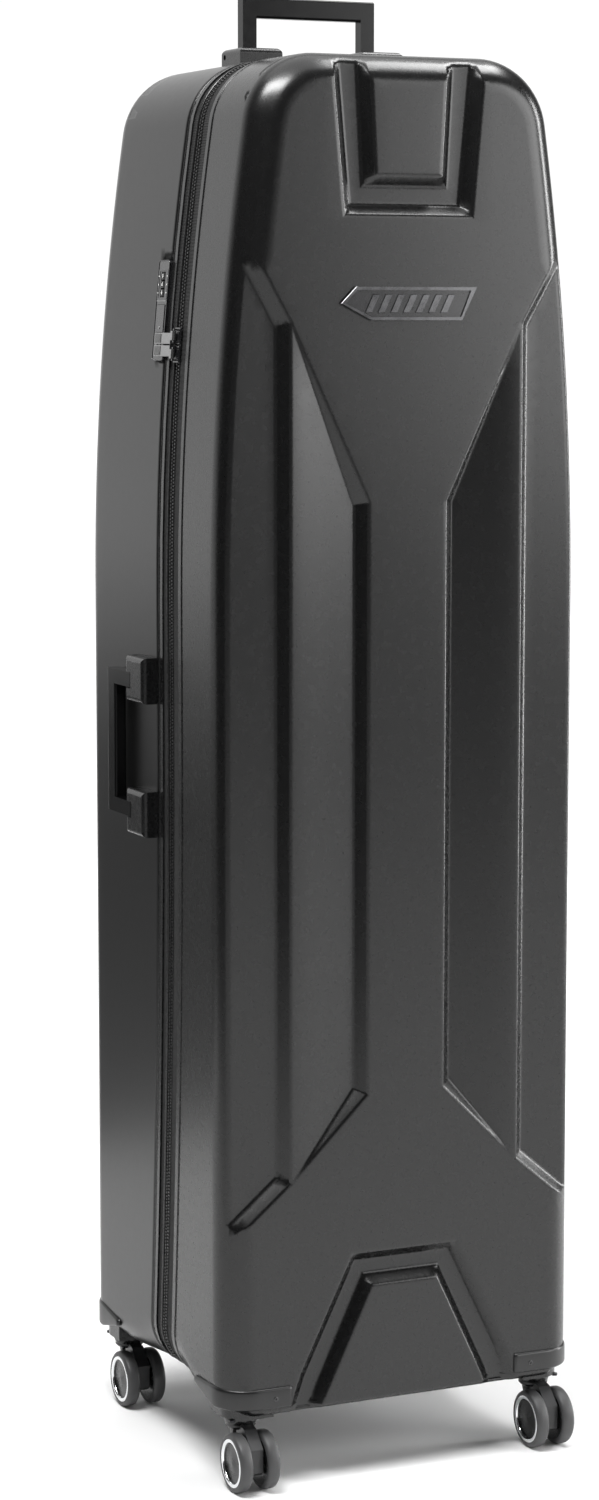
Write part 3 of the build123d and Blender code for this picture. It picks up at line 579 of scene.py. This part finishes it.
    def finish(self, verts3, faces):
        """Add the side band down to the lip, weld it on and give the skin its wall."""
        lip = self.band_depths()
        base = len(verts3)
        rows = []
        for level in BAND_LEVELS:
            depth = self.radius + (lip - self.radius) * level
            ease = np.clip((depth - SQUARE_DEPTH) / (lip - SQUARE_DEPTH), 0, 1)
            mix = (ease * ease * (3 - 2 * ease))[:, None]
            p = self.pts * (1 - mix) + self.wide_pts * mix
            rows.append(np.stack([p[:, 0], self.face_y(depth), p[:, 1]], 1))
        verts = np.concatenate([verts3, *rows])
        band = sleeve_faces(len(BAND_LEVELS), len(self.pts), base)
        band = [f for f in band if not self.in_lock(verts[list(f)].mean(0))]
        a, b, c = (verts[i] for i in band[0][:3])
        # the first quad is at the bottom, so it has to face down
        if np.cross(b - a, c - a)[2] > 0:
            band = [f[::-1] for f in band]
        mesh = bpy.data.meshes.new(self.name)
        mesh.from_pydata([tuple(v) for v in place(verts)], [], [*faces, *band])
        mesh.update()
        # weld the outer ring of the face to the first row of the band
        bm = bmesh.new()
        bm.from_mesh(mesh)
        bmesh.ops.remove_doubles(bm, verts=bm.verts, dist=BAND_WELD)
        for f in bm.faces:
            f.smooth = True
        bm.to_mesh(mesh)
        bm.free()
        obj = scene_object(self.name, mesh)
        paint(obj, self.key)
        wall = obj.modifiers.new("wall", "SOLIDIFY")
        wall.thickness = SHELL_WALL * MM
        wall.offset = -1
        wall.use_even_offset = False
        return obj

    def in_lock(self, p):
        """True where the back half is cut away for the lock, a little inside the lock's own edge."""
        if self.direction < 0 or p[0] > 0:
            return False
        return abs(p[1] - LOCK_Y) < LOCK_W / 2 - 1 and abs(p[2] - LOCK_Z) < LOCK_L / 2 - 2


front_skin = Shell("front_skin", -1, "shell").build()
back_skin = Shell("back_skin", 1, "shell_back_painted_shade").build()
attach(front_skin, "front_half")
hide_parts("front_shell")
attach(back_skin, "back_half")
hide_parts("back_shell")

# ---------------------------------------------------------------- seam: coil, piping
SEAM_Y = -HALF_D + SEAM_FROM_FRONT
TAPE_INSET = 1.8
COIL_PITCH = 3.2
TOOTH_HALF, TOOTH_SCALE, TOOTH_LIFT = 0.75, 0.85, 0.02
HINGE_SIDE_X = 100     # the teeth stop here, short of the hinges
CORD_STEP, CORD_SIDES = 9, 10


def seam_path(inset, step):
    """Points and outward normals at even steps round the case on the seam line."""
    pts, nrm, _ = outline_samples(BOTTOM_CORNER)
    pts = pts + nrm * inset
    closed = np.vstack([pts, pts[:1]])
    normals = np.vstack([nrm, nrm[:1]])
    along = np.concatenate([[0], np.cumsum(np.linalg.norm(np.diff(closed, axis=0), axis=1))])
    count = int(along[-1] / step)
    s = np.linspace(0, along[-1], count, endpoint=False)
    xz = np.stack([np.interp(s, along, closed[:, k]) for k in (0, 1)], 1)
    out = -np.stack([np.interp(s, along, normals[:, k]) for k in (0, 1)], 1)
    out /= np.linalg.norm(out, axis=1)[:, None]
    return xz, out


def coil(name, side, phase):
    """Row of zip teeth on one tape; side is -1 for the front half and +1 for the back half."""
    xz, out = seam_path(TAPE_INSET, COIL_PITCH / 2)
    xz, out = xz[phase::2], out[phase::2]
    keep = xz[:, 0] < HINGE_SIDE_X
    xz, out = xz[keep], out[keep]
    tangent = np.stack([-out[:, 1], out[:, 0]], 1)
    # (distance from the seam line, height above the tape)
    profile = [(1.0, 0.0), (1.0, 0.9), (1.6, 1.25), (3.4, 1.2), (4.4, 0.6), (4.4, 0.0)]
    k = len(profile)
    verts, faces = [], []
    for p, n, t in zip(xz, out, tangent):
        base = len(verts)
        y0 = SEAM_Y + float(seam_shift(p[1]))
        for half in (-TOOTH_HALF, TOOTH_HALF):
            for y, w in profile:
                q = p + n * (w * TOOTH_SCALE + TOOTH_LIFT) + t * half
                verts.append((q[0], y0 + side * y, q[1]))
        faces.append(tuple(range(base, base + k)))
        faces.append(tuple(range(base + 2 * k - 1, base + k - 1, -1)))
        for i in range(k):
            j = (i + 1) % k
            faces.append((base + i, base + k + i, base + k + j, base + j))
    return new_mesh(name, place(verts), faces, "zip_coil", sharp_deg=40)


def seam_cord(name, offset, radius, inset, key):
    """Thin piping that follows the seam all the way round."""
    xz, out = seam_path(inset, CORD_STEP)
    verts = []
    for p, n in zip(xz, out):
        y0 = SEAM_Y + float(seam_shift(p[1])) + offset
        for a in full_turn(CORD_SIDES):
            q = p + n * radius * math.cos(a)
            verts.append((q[0], y0 + radius * math.sin(a), q[1]))
    return new_mesh(name, place(verts), ring_faces(len(xz), CORD_SIDES), key)


front_coil = coil("front_coil", -1, 0)
back_coil = coil("back_coil", 1, 1)
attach(front_coil, "front_half")
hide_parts("front_zip_teeth")
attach(back_coil, "back_half")
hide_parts("back_zip_teeth")
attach(seam_cord("back_piping", 7.5, 1.3, 1.2, "lip"), "back_half")
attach(seam_cord("back_lip_bead", SEAM_HALF - 0.6, 0.9, 0.3, "lip"), "back_half")
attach(seam_cord("front_lip_bead", -SEAM_HALF + 0.6, 0.9, 0.3, "lip"), "front_half")

# ---------------------------------------------------------------- corner guards
GUARD_PROUD, GUARD_THICK, GUARD_IN, GUARD_REAR = 1.5, 8, 115, 75
GUARD_LOW, GUARD_HIGH, GUARD_TIP_LOW, GUARD_TIP_HIGH = 77, 96.5, 88, 94
GUARD_BACK_RISE = 5    # the two back guards stand this much higher
GUARD_START, GUARD_END, GUARD_DENSE_END = 3.0, 4.0, 7      # lengths of the rounded ends
GUARD_END_SINK, GUARD_END_NARROW = 2.2, 2.0
GUARD_OUTER = -3       # section points further out than this sink with the ends


def guard_path():
    """Plan of one guard at the left front corner: x, y behind the face, and outward normal."""
    rows = []
    for x in np.linspace(-GUARD_IN, -HALF_W + EDGE_ROUND, 9):
        rows.append((x, -GUARD_PROUD, 0.0, -1.0))
    reach = EDGE_ROUND + GUARD_PROUD
    cx, cy = -HALF_W + EDGE_ROUND, EDGE_ROUND
    for a in np.linspace(270, 180, 13)[1:]:
        c, s = math.cos(math.radians(a)), math.sin(math.radians(a))
        rows.append((cx + reach * c, cy + reach * s, c, s))
    for y in np.linspace(EDGE_ROUND, GUARD_REAR, 8)[1:]:
        rows.append((-HALF_W - GUARD_PROUD, y, -1.0, 0.0))
    return rows


def corner_guard(name, side, front):
    """Wrap-round guard with rounded edges and a tapering side arm; front is -1 or +1."""
    rows = guard_path()
    steps = [0.0]
    for a, b in zip(rows, rows[1:]):
        steps.append(steps[-1] + math.hypot(b[0] - a[0], b[1] - a[1]))
    total = steps[-1]
    stations = [(*row, s) for row, s in zip(rows, steps)]
    dense = []
    for a, b in zip(stations, stations[1:]):
        dense.append(a)
        if a[4] < GUARD_START or total - b[4] < GUARD_DENSE_END:
            for t in (0.25, 0.5, 0.75):
                dense.append(tuple(p * (1 - t) + q * t for p, q in zip(a, b)))
    dense.append(stations[-1])
    verts = []
    for x, y, nx, ny, s in dense:
        arm = min(1.0, max(0.0, (y - EDGE_ROUND) / (GUARD_REAR - EDGE_ROUND)))
        low = GUARD_LOW + (GUARD_TIP_LOW - GUARD_LOW) * arm
        high = GUARD_HIGH + (GUARD_TIP_HIGH - GUARD_HIGH) * arm
        if front > 0:
            high += GUARD_BACK_RISE * (1 - arm) if y > 0 else GUARD_BACK_RISE
        near = min(1.0, s / GUARD_START, (total - s) / GUARD_END)
        near = math.sqrt(max(0.0, 1 - (1 - near) ** 2))
        sink = (1 - near) * GUARD_END_SINK
        low += (1 - near) * GUARD_END_NARROW
        high -= (1 - near) * GUARD_END_NARROW
        # (distance out from the face of the guard, height)
        section = [(0, low + 2.4), (0, high - 3.0), (-0.35, high - 1.5), (-1.2, high - 0.5),
                   (-2.6, high), (-GUARD_THICK, high), (-GUARD_THICK, low), (-2.2, low),
                   (-0.9, low + 0.5), (-0.25, low + 1.3)]
        for out, z in section:
            push = out - (sink if out > GUARD_OUTER else 0)
            verts.append((-(x + nx * push) * side, front * (HALF_D - (y + ny * push)), z))
    k = len(section)
    faces = sleeve_faces(len(dense), k)
    faces.append(tuple(range(k)))
    faces.append(tuple(range(len(verts) - k, len(verts))))
    return new_mesh(name, place(verts), faces, "guard", sharp_deg=50)


DISC_SEGMENTS = 24


def disc(name, centre, normal, radius, proud, key, recess):
    """Low screw head: a round button with a dimple, facing along normal."""
    profile = [(radius, -1.5), (radius, proud * 0.5), (radius * 0.9, proud * 0.85), (radius * 0.72, proud),
               (radius * 0.42, proud), (radius * 0.36, proud - recess), (0.01, proud - recess)]
    turn = Vector(normal).to_track_quat("Z", "Y").to_matrix()
    verts = [Vector(centre) + turn @ Vector((r * math.cos(a), r * math.sin(a), h))
             for r, h in profile for a in full_turn(DISC_SEGMENTS)]
    faces = sleeve_faces(len(profile), DISC_SEGMENTS)
    faces.append(tuple(range(DISC_SEGMENTS)))
    return new_mesh(name, place(verts), faces, key, sharp_deg=40)


GUARD_SCREW_X, GUARD_SCREW_Z = 132, 86
CORNERS = {"front_left": (-1, -1), "front_right": (1, -1), "back_left": (-1, 1), "back_right": (1, 1)}
for corner, (side, front) in CORNERS.items():
    half = "front_half" if front < 0 else "back_half"
    piece = corner_guard(f"{corner}_bumper", side, front)
    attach(piece, half)
    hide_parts(f"{corner}_corner_guard")
    spot = (side * GUARD_SCREW_X, front * (HALF_D + GUARD_PROUD), GUARD_SCREW_Z)
    screw = disc(f"{corner}_bumper_screw", spot, (0, front, 0), 2.3, 0.4, "black_metal",
                 0.4)
    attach(screw, half)

# ---------------------------------------------------------------- casters
STEM_X, STEM_Y, TRAIL = 153, 138, 22
WHEEL_RADIUS, WHEEL_OFFSET = 27.25, 13.5
TYRE_PROFILE = [(-6.25, 22.7), (-6.25, 24.1), (-5.8, 25.2), (-4.8, 26.4), (-3.4, 27.05), (-1.2, 27.25),
                (1.2, 27.25), (3.4, 27.05), (4.8, 26.4), (5.8, 25.2), (6.25, 24.1), (6.25, 22.7)]
HUB_PROFILE = [(-5.95, 3.2), (-5.95, 22.6), (4.9, 22.6), (4.9, 18.8), (3.6, 17.6), (3.4, 12.0), (4.4, 5.0),
               (4.9, 0.02), (4.2, 0.02), (4.2, 3.2)]
RING_PROFILE = [(4.4, 22.6), (5.7, 22.5), (6.25, 21.8), (6.4, 20.6), (6.1, 19.5), (5.4, 18.8), (4.4, 18.6)]
NECK_PROFILE = [(5.3, 65.4), (15.2, 65.4), (15.6, 64.4), (15.4, 61.8), (13.6, 57.0), (12.6, 54.4), (12.0, 53.8),
                (7.6, 53.8), (7.6, 56.3), (5.3, 56.3)]


for corner, (side, front) in CORNERS.items():
    stem = (side * STEM_X, front * STEM_Y)
    neck = lathe_z(f"{corner}_caster_neck", NECK_PROFILE, stem, "wheel_hub", 48)
    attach(neck, f"{corner}_caster")
    soften(nodes[f"{corner}_fork"], 1.4)
    for wheel, out in (("left", -1), ("right", 1)):
        body = f"{corner}_{wheel}_wheel"
        centre = (stem[0] + out * WHEEL_OFFSET, stem[1] - TRAIL, WHEEL_RADIUS)
        rubber = lathe_x(f"{corner}_{wheel}_rubber", TYRE_PROFILE, centre, "tyre", 72)
        core = lathe_x(f"{corner}_{wheel}_core", [(x * out, r) for x, r in HUB_PROFILE], centre,
                       "wheel_hub", 64)
        ring = lathe_x(f"{corner}_{wheel}_chrome_ring", [(x * out, r) for x, r in RING_PROFILE], centre,
                       "bright_trim", 72)
        for piece in (rubber, core, ring):
            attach(piece, body)
        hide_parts(f"{corner}_{wheel}_tyre")
        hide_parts(f"{corner}_{wheel}_hub")


# ---------------------------------------------------------------- prisms on a frame
class Panel:
    """A local frame on a surface: u and v lie in it, w points out of it."""

    def __init__(self, origin, u, v):
        self.origin = Vector(origin)
        self.u, self.v = Vector(u).normalized(), Vector(v).normalized()
        self.w = self.u.cross(self.v)

    def point(self, u, v, w):
        return self.origin + self.u * u + self.v * v + self.w * w

    def prism(self, name, outline, low, high, key, hole=None, chamfer=0.0):
        """Flat piece between two heights, with an optional hole of as many corners."""
        k = len(outline)
        centre = (sum(p[0] for p in outline) / k, sum(p[1] for p in outline) / k)

        def loop(points, w, inset):
            result = []
            for p in points:
                d = Vector((p[0] - centre[0], p[1] - centre[1]))
                size = d.length or 1.0
                q = Vector(p) - d / size * inset
                result.append(self.point(q.x, q.y, w))
            return result

        verts = loop(outline, low, 0) + loop(outline, high - chamfer, 0) + loop(outline, high, chamfer)
        if hole:
            verts += loop(hole, high, -chamfer) + loop(hole, high - chamfer, 0) + loop(hole, low, 0)
            faces = ring_faces(6, k)
        else:
            faces = sleeve_faces(3, k) + [tuple(range(2 * k, 3 * k)), tuple(range(k - 1, -1, -1))]
        return new_mesh(name, place(verts), faces, key, sharp_deg=25)


def rounded(half_u, half_v, radius, u0=0.0, v0=0.0, steps=4):
    """Corners of a rounded rectangle."""
    points = []
    for a0, su, sv in ((0, 1, 1), (90, -1, 1), (180, -1, -1), (270, 1, -1)):
        for i in range(steps + 1):
            a = math.radians(a0 + 90 * i / steps)
            points.append((u0 + su * (half_u - radius) + radius * math.cos(a),
                           v0 + sv * (half_v - radius) + radius * math.sin(a)))
    return points


def box_outline(u, v, half_u, half_v):
    """Corners of a rectangle about (u, v)."""
    return [(u - half_u, v - half_v), (u + half_u, v - half_v), (u + half_u, v + half_v),
            (u - half_u, v + half_v)]


# ---------------------------------------------------------------- badge
BADGE_Z, BADGE_W, BADGE_H = 1080, 136, 30
BADGE_BARS, BAR_FIRST, BAR_STEP, BAR_HALF, BAR_TALL = 7, -38, 12.5, 3.2, 8.2
BAR_LEAN_LOW, BAR_LEAN_HIGH = -3, 5        # how far a bar's lower and upper ends lean
badge_panel = Panel((0, -HALF_D, BADGE_Z), (1, 0, 0), (0, 0, 1))


def lozenge(shrink):
    """Outline of the badge, pointed at the left and slanted at the right."""
    half, rise = BADGE_W / 2, BADGE_H / 2 - shrink
    return [(-half + 1.6 * shrink, 0), (-half + BADGE_H / 2 + 0.45 * shrink, rise), (half - 2.2 * shrink, rise),
            (half - BADGE_H / 2 - 0.6 * shrink, -rise), (-half + BADGE_H + 0.4 * shrink, -rise)]


badge_plate = badge_panel.prism("badge_plate", lozenge(0.6), -1, 0.8, "black_metal")
badge_rim = badge_panel.prism("badge_rim", lozenge(0), -1, 2.0, "badge", hole=lozenge(3.2),
                              chamfer=0.6)
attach(badge_plate, "front_half")
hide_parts("badge")
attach(badge_rim, "front_half")
for i in range(BADGE_BARS):
    low_u, high_u = (BAR_FIRST + i * BAR_STEP + lean for lean in (BAR_LEAN_LOW, BAR_LEAN_HIGH))
    bar = [(low_u - BAR_HALF, -BAR_TALL), (low_u + BAR_HALF, -BAR_TALL),
           (high_u + BAR_HALF, BAR_TALL), (high_u - BAR_HALF, BAR_TALL)]
    piece = badge_panel.prism(f"badge_bar_{i + 1}", bar, 0, 1.7, "badge", chamfer=0.5)
    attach(piece, "front_half")

# ---------------------------------------------------------------- lock
lean = math.asin((LOCK_Z - SHOULDER_Z) / SIDE_RADIUS)
lock_x = -HALF_W + SIDE_RADIUS - math.sqrt(SIDE_RADIUS**2 - (LOCK_Z - SHOULDER_Z) ** 2)
lock_panel = Panel((lock_x, LOCK_Y, LOCK_Z), (0, -1, 0), (math.sin(lean), 0, math.cos(lean)))
LOCK_PROUD = 2.4
DIAL_MIDDLE, DIAL_PITCH = 23.6, 7.6
KEY_V, BUTTON_V = -33, -16                 # key and button along the lock
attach(lock_panel.prism("lock_rim", rounded(LOCK_W / 2, LOCK_L / 2, 3), LOCK_PROUD - 1.0,
                         LOCK_PROUD + 0.5, "black_metal",
                         hole=rounded(12.1, 45.1, 2.4), chamfer=0.3), "back_half")
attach(lock_panel.prism("lock_window_frame", rounded(11, 14.4, 2.0, 0, DIAL_MIDDLE), LOCK_PROUD - 0.5,
                         LOCK_PROUD + 0.35, "black_metal",
                         hole=rounded(8.6, 12.2, 1.4, 0, DIAL_MIDDLE), chamfer=0.3), "back_half")
for row in (-1, 0, 1):
    for column in (-1, 1):
        u, v = column * 9.8, DIAL_MIDDLE + row * DIAL_PITCH
        tick = box_outline(u, v, 0.8, 0.55)
        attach(lock_panel.prism(f"lock_tick_{row + 2}_{'l' if column < 0 else 'r'}", tick, LOCK_PROUD,
                                 LOCK_PROUD + 0.45, "mark"), "back_half")
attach(lock_panel.prism("lock_divider", [(-11, 8.2), (11, 8.2), (11, 9.2), (-11, 9.2)], LOCK_PROUD - 0.3,
                         LOCK_PROUD + 0.4, "gunmetal", chamfer=0.2), "back_half")
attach(lock_panel.prism("lock_key_bezel", rounded(5.2, 5.2, 5.1, 0, KEY_V), LOCK_PROUD - 0.5,
                         LOCK_PROUD + 0.7, "gunmetal",
                         hole=rounded(3.4, 3.4, 3.3, 0, KEY_V), chamfer=0.3), "back_half")
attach(lock_panel.prism("lock_key_slot", [(-0.7, -35.8), (0.7, -35.8), (0.7, -30.2), (-0.7, -30.2)],
                         LOCK_PROUD - 0.2, LOCK_PROUD + 0.1, "dial"), "back_half")
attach(lock_panel.prism("lock_button_dot", rounded(1.5, 1.5, 1.4, 0, BUTTON_V), 2.6, 3.5,
                         "gunmetal", chamfer=0.3), "lock_release")

DIAL_RADIUS, DIAL_AXIS = 9, -5.9           # the dials turn on an axle below the lock's face
DIGITS, DIGIT_SIZE, DIGIT_RAISE = 10, 4.6, 0.12


def dial_digits(name, v0):
    """Ten small raised numerals round one dial."""
    joined = []
    for digit in range(DIGITS):
        curve = bpy.data.curves.new(f"{name}_{digit}", "FONT")
        curve.body = str(digit)
        curve.size = DIGIT_SIZE * MM
        curve.align_x, curve.align_y = "CENTER", "CENTER"
        curve.extrude = DIGIT_RAISE * MM
        text = scene_object(f"{name}_{digit}", curve)
        angle = 2 * math.pi * digit / DIGITS
        # outward direction of this numeral, in the dial's own plane
        out = lock_panel.w * math.cos(angle) + lock_panel.u * math.sin(angle)
        up = lock_panel.v
        right = up.cross(out)
        centre = lock_panel.point(0, v0, DIAL_AXIS) + out * DIAL_RADIUS
        turn = Matrix((right, up, out)).transposed().to_4x4()
        turn.translation = Vector(place([tuple(centre)])[0])
        text.matrix_world = turn
        joined.append(text)
    bpy.context.view_layer.update()
    depsgraph = bpy.context.evaluated_depsgraph_get()
    bm = bmesh.new()
    for text in joined:
        mesh = bpy.data.meshes.new_from_object(text.evaluated_get(depsgraph))
        mesh.transform(text.matrix_world)
        bm.from_mesh(mesh)
        bpy.data.meshes.remove(mesh)
        bpy.data.objects.remove(text)
    mesh = bpy.data.meshes.new(name)
    bm.to_mesh(mesh)
    bm.free()
    obj = scene_object(name, mesh)
    paint(obj, "mark")
    return obj


DIALS = (("lock_dial_upper", 1), ("lock_dial_middle", 0), ("lock_dial_lower", -1))
for number, (body, row) in enumerate(DIALS):
    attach(dial_digits(f"dial_{number + 1}_numerals", DIAL_MIDDLE + row * DIAL_PITCH), body)

# ---------------------------------------------------------------- zip pulls
PULL_LENGTH, PULL_HALF, BRIDGE_Z, PULL_SHIFT = 44, 5, 4.9, 2.6
for name, z, shift in (("upper", 1051, -PULL_SHIFT), ("lower", 1034.5, PULL_SHIFT)):
    tilt = math.asin((z - SHOULDER_Z) / SIDE_RADIUS)
    x = -HALF_W + SIDE_RADIUS - math.sqrt(SIDE_RADIUS**2 - (z - SHOULDER_Z) ** 2)
    panel = Panel((x, SEAM_Y, z), (0, -1, 0), (math.sin(tilt), 0, math.cos(tilt)))
    soften(nodes[f"{name}_pull"], 0.35)
    soften(nodes[f"{name}_slider"], 0.4)
    for ridge in range(6):
        u = -PULL_LENGTH + 2.5 + ridge * 2.4
        bar = box_outline(u, shift, 0.6, PULL_HALF - 0.8)
        piece = panel.prism(f"{name}_pull_ridge_{ridge + 1}", bar, BRIDGE_Z + 0.7, BRIDGE_Z + 1.35,
                            "gunmetal", chamfer=0.25)
        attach(piece, f"{name}_zip_pull")

# ---------------------------------------------------------------- hinge screws
HINGE_Z, HINGE_LEAF_X = (400, 600, 780), HALF_W + 1.5
SCREW_FROM_SEAM, SCREW_COLUMN, SCREW_ROW = 16, 20, 23
for h, z in enumerate(HINGE_Z):
    for direction, half in ((-1, "front_half"), (1, "back_half")):
        for row in (-1, 1):
            for column in (0, 1):
                spot = (HINGE_LEAF_X, SEAM_Y + direction * (SCREW_FROM_SEAM + SCREW_COLUMN * column),
                        z + row * SCREW_ROW)
                screw = f"hinge_{h + 1}_screw_{half[0]}_{row + 1}_{column}"
                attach(disc(screw, spot, (1, 0, 0), 3.0, 0.9, "steel", 0.6), half)
for name in ("back_hinge_leaves", "front_hinge_leaves", "lock_housing", "back_caster_mounts",
             "front_caster_mounts"):
    soften(nodes[name], 0.5)

# ---------------------------------------------------------------- carried-over CAD nodes
# The last key found in a node's name gives its material.
FINISH = {
    "lining": "lining", "edge_trim": "lip", "zip_tape": "zip_tape", "zip_teeth": "zip_coil",
    "corner_guard": "guard", "badge": "badge", "caster_mounts": "black_plastic", "screws": "dark_steel",
    "fork": "fork", "tyre": "tyre", "hub": "wheel_hub", "grip": "handle", "mounts": "black_plastic",
    "handle_pins": "steel", "backplates": "steel", "lock_housing": "black_metal", "lock_dial": "dial",
    "lock_button": "black_metal", "slider": "black_metal", "pull": "gunmetal", "hinge_leaves": "black_metal",
    "hinge_pins": "steel", "straps": "webbing", "buckles": "black_plastic",
}
for name, node in nodes.items():
    if node.hide_render:
        continue
    finish = [FINISH[key] for key in FINISH if key in name]
    paint(node, finish[-1])
for name in ("top_handle_grip", "side_handle_grip", "top_handle_mounts", "side_handle_mounts"):
    soften(nodes[name], 1.0)


# ---------------------------------------------------------------- studio
def area_light(name, location, target, size, power):
    data = bpy.data.lights.new(name, "AREA")
    data.shape = "RECTANGLE"
    data.size, data.size_y = size
    data.energy = power
    light = scene_object(name, data)
    light.location = location
    aim = Vector(target) - Vector(location)
    light.rotation_euler = aim.to_track_quat("-Z", "Y").to_euler()


# the camera fitted to the photo: place from the shell's centre on the floor, in metres
CAMERA_YAW, CAMERA_PITCH = math.radians(24.6), math.radians(-7.2)
CAMERA_LEFT, CAMERA_AHEAD, CAMERA_HEIGHT = 1.366, 2.918, 1.065
SENSOR_MM, LENS_MM = 36, 81.6


def make_camera():
    data = bpy.data.cameras.new("camera")
    data.sensor_fit = "VERTICAL"
    data.sensor_height = SENSOR_MM
    data.lens = LENS_MM
    camera = scene_object("camera", data)
    camera.location = (CENTRE_X - CAMERA_LEFT, CENTRE_Y - CAMERA_AHEAD, CAMERA_HEIGHT)
    level = math.cos(CAMERA_PITCH)
    forward = Vector((math.sin(CAMERA_YAW) * level, math.cos(CAMERA_YAW) * level,
                      math.sin(CAMERA_PITCH)))
    camera.rotation_euler = forward.to_track_quat("-Z", "Y").to_euler()
    bpy.context.scene.camera = camera


def make_floor():
    """White sweep: plain near the case, glowing further out so that no horizon shows.

    The camera sees the full glow; in reflections it is dim in front of the case."""
    bpy.ops.mesh.primitive_plane_add(size=80, location=(0, 0, 0))
    floor = bpy.context.object
    floor.name = "studio_floor"
    mat = surface("studio_floor", (0.93, 0.93, 0.93), 0.7, vary=0.01, rough_vary=0.05)
    tree = mat.node_tree
    bsdf = tree.nodes["Principled BSDF"]
    coords = tree.nodes.new("ShaderNodeTexCoord")
    reach = tree.nodes.new("ShaderNodeVectorMath")
    reach.operation = "LENGTH"
    link(tree, coords.outputs["Object"], reach.inputs[0])
    fade = map_range(tree, reach.outputs["Value"], (0.5, 3.2), (0.0, 1.0), "SMOOTHSTEP")
    split = tree.nodes.new("ShaderNodeSeparateXYZ")
    link(tree, coords.outputs["Object"], split.inputs["Vector"])
    path = tree.nodes.new("ShaderNodeLightPath")
    behind = map_range(tree, split.outputs["Y"], (-0.8, 0.8), (0.05, 1.0), "SMOOTHSTEP")
    pale = combine(tree, "MAXIMUM", path.outputs["Is Camera Ray"], behind)
    glow = combine(tree, "MULTIPLY", fade, pale)
    link(tree, glow, bsdf.inputs["Emission Strength"])
    bsdf.inputs["Emission Color"].default_value = (1, 1, 1, 1)
    floor.data.materials.append(mat)


def make_world():
    """White to the camera; in reflections, bright behind the case and dim in front of it."""
    world = bpy.data.worlds.new("studio")
    world.use_nodes = True
    tree = world.node_tree
    background = tree.nodes["Background"]
    coords = tree.nodes.new("ShaderNodeTexCoord")
    split = tree.nodes.new("ShaderNodeSeparateXYZ")
    link(tree, coords.outputs["Generated"], split.inputs["Vector"])
    fade = map_range(tree, split.outputs["Y"], (0.45, 0.85), (0.07, 1.05), "SMOOTHSTEP")
    path = tree.nodes.new("ShaderNodeLightPath")
    pale = combine(tree, "MAXIMUM", path.outputs["Is Camera Ray"], fade)
    link(tree, pale, background.inputs["Strength"])
    background.inputs["Color"].default_value = (1, 1, 1, 1)
    bpy.context.scene.world = world


def board(name, location, target, size, tone):
    """Dark board that only reflections see."""
    bpy.ops.mesh.primitive_plane_add(size=1, location=location)
    flag = bpy.context.object
    flag.name = name
    flag.scale = (size[0], size[1], 1)
    aim = Vector(target) - Vector(location)
    flag.rotation_euler = aim.to_track_quat("Z", "Y").to_euler()
    flag.data.materials.append(surface(name, (tone, tone, tone), 0.9, vary=0.1))
    flag.visible_camera = False
    flag.visible_shadow = False


make_camera()
make_floor()
make_world()
bpy.context.scene.view_settings.view_transform = "Standard"
area_light("overhead", (0.3, 0.2, 3.7), (0.3, 0.2, 0), (3.6, 3.0), 58)
area_light("top_left", (-1.0, -0.65, 2.7), (0, 0, 0.8), (1.5, 0.5), 75)
area_light("top_right", (1.2, -0.1, 3.2), (0.3, -0.1, 0.5), (1.1, 0.6), 32)
area_light("front_right", (2.8, -2.95, 1.75), (0, 0, 0.8), (2.4, 2.2), 100)
area_light("rim_right", (3.6, -0.5, 1.3), (0, 0, 0.7), (0.5, 2.6), 90)
board("flag_left", (-1.9, -0.35, 1.2), (-1, -0.35, 1.2), (2.6, 2.4), 0.01)
board("board_behind", (-2.6, 4.3, 0.01), (-2.6, 4.3, 1), (4.6, 6.4), 0.2)
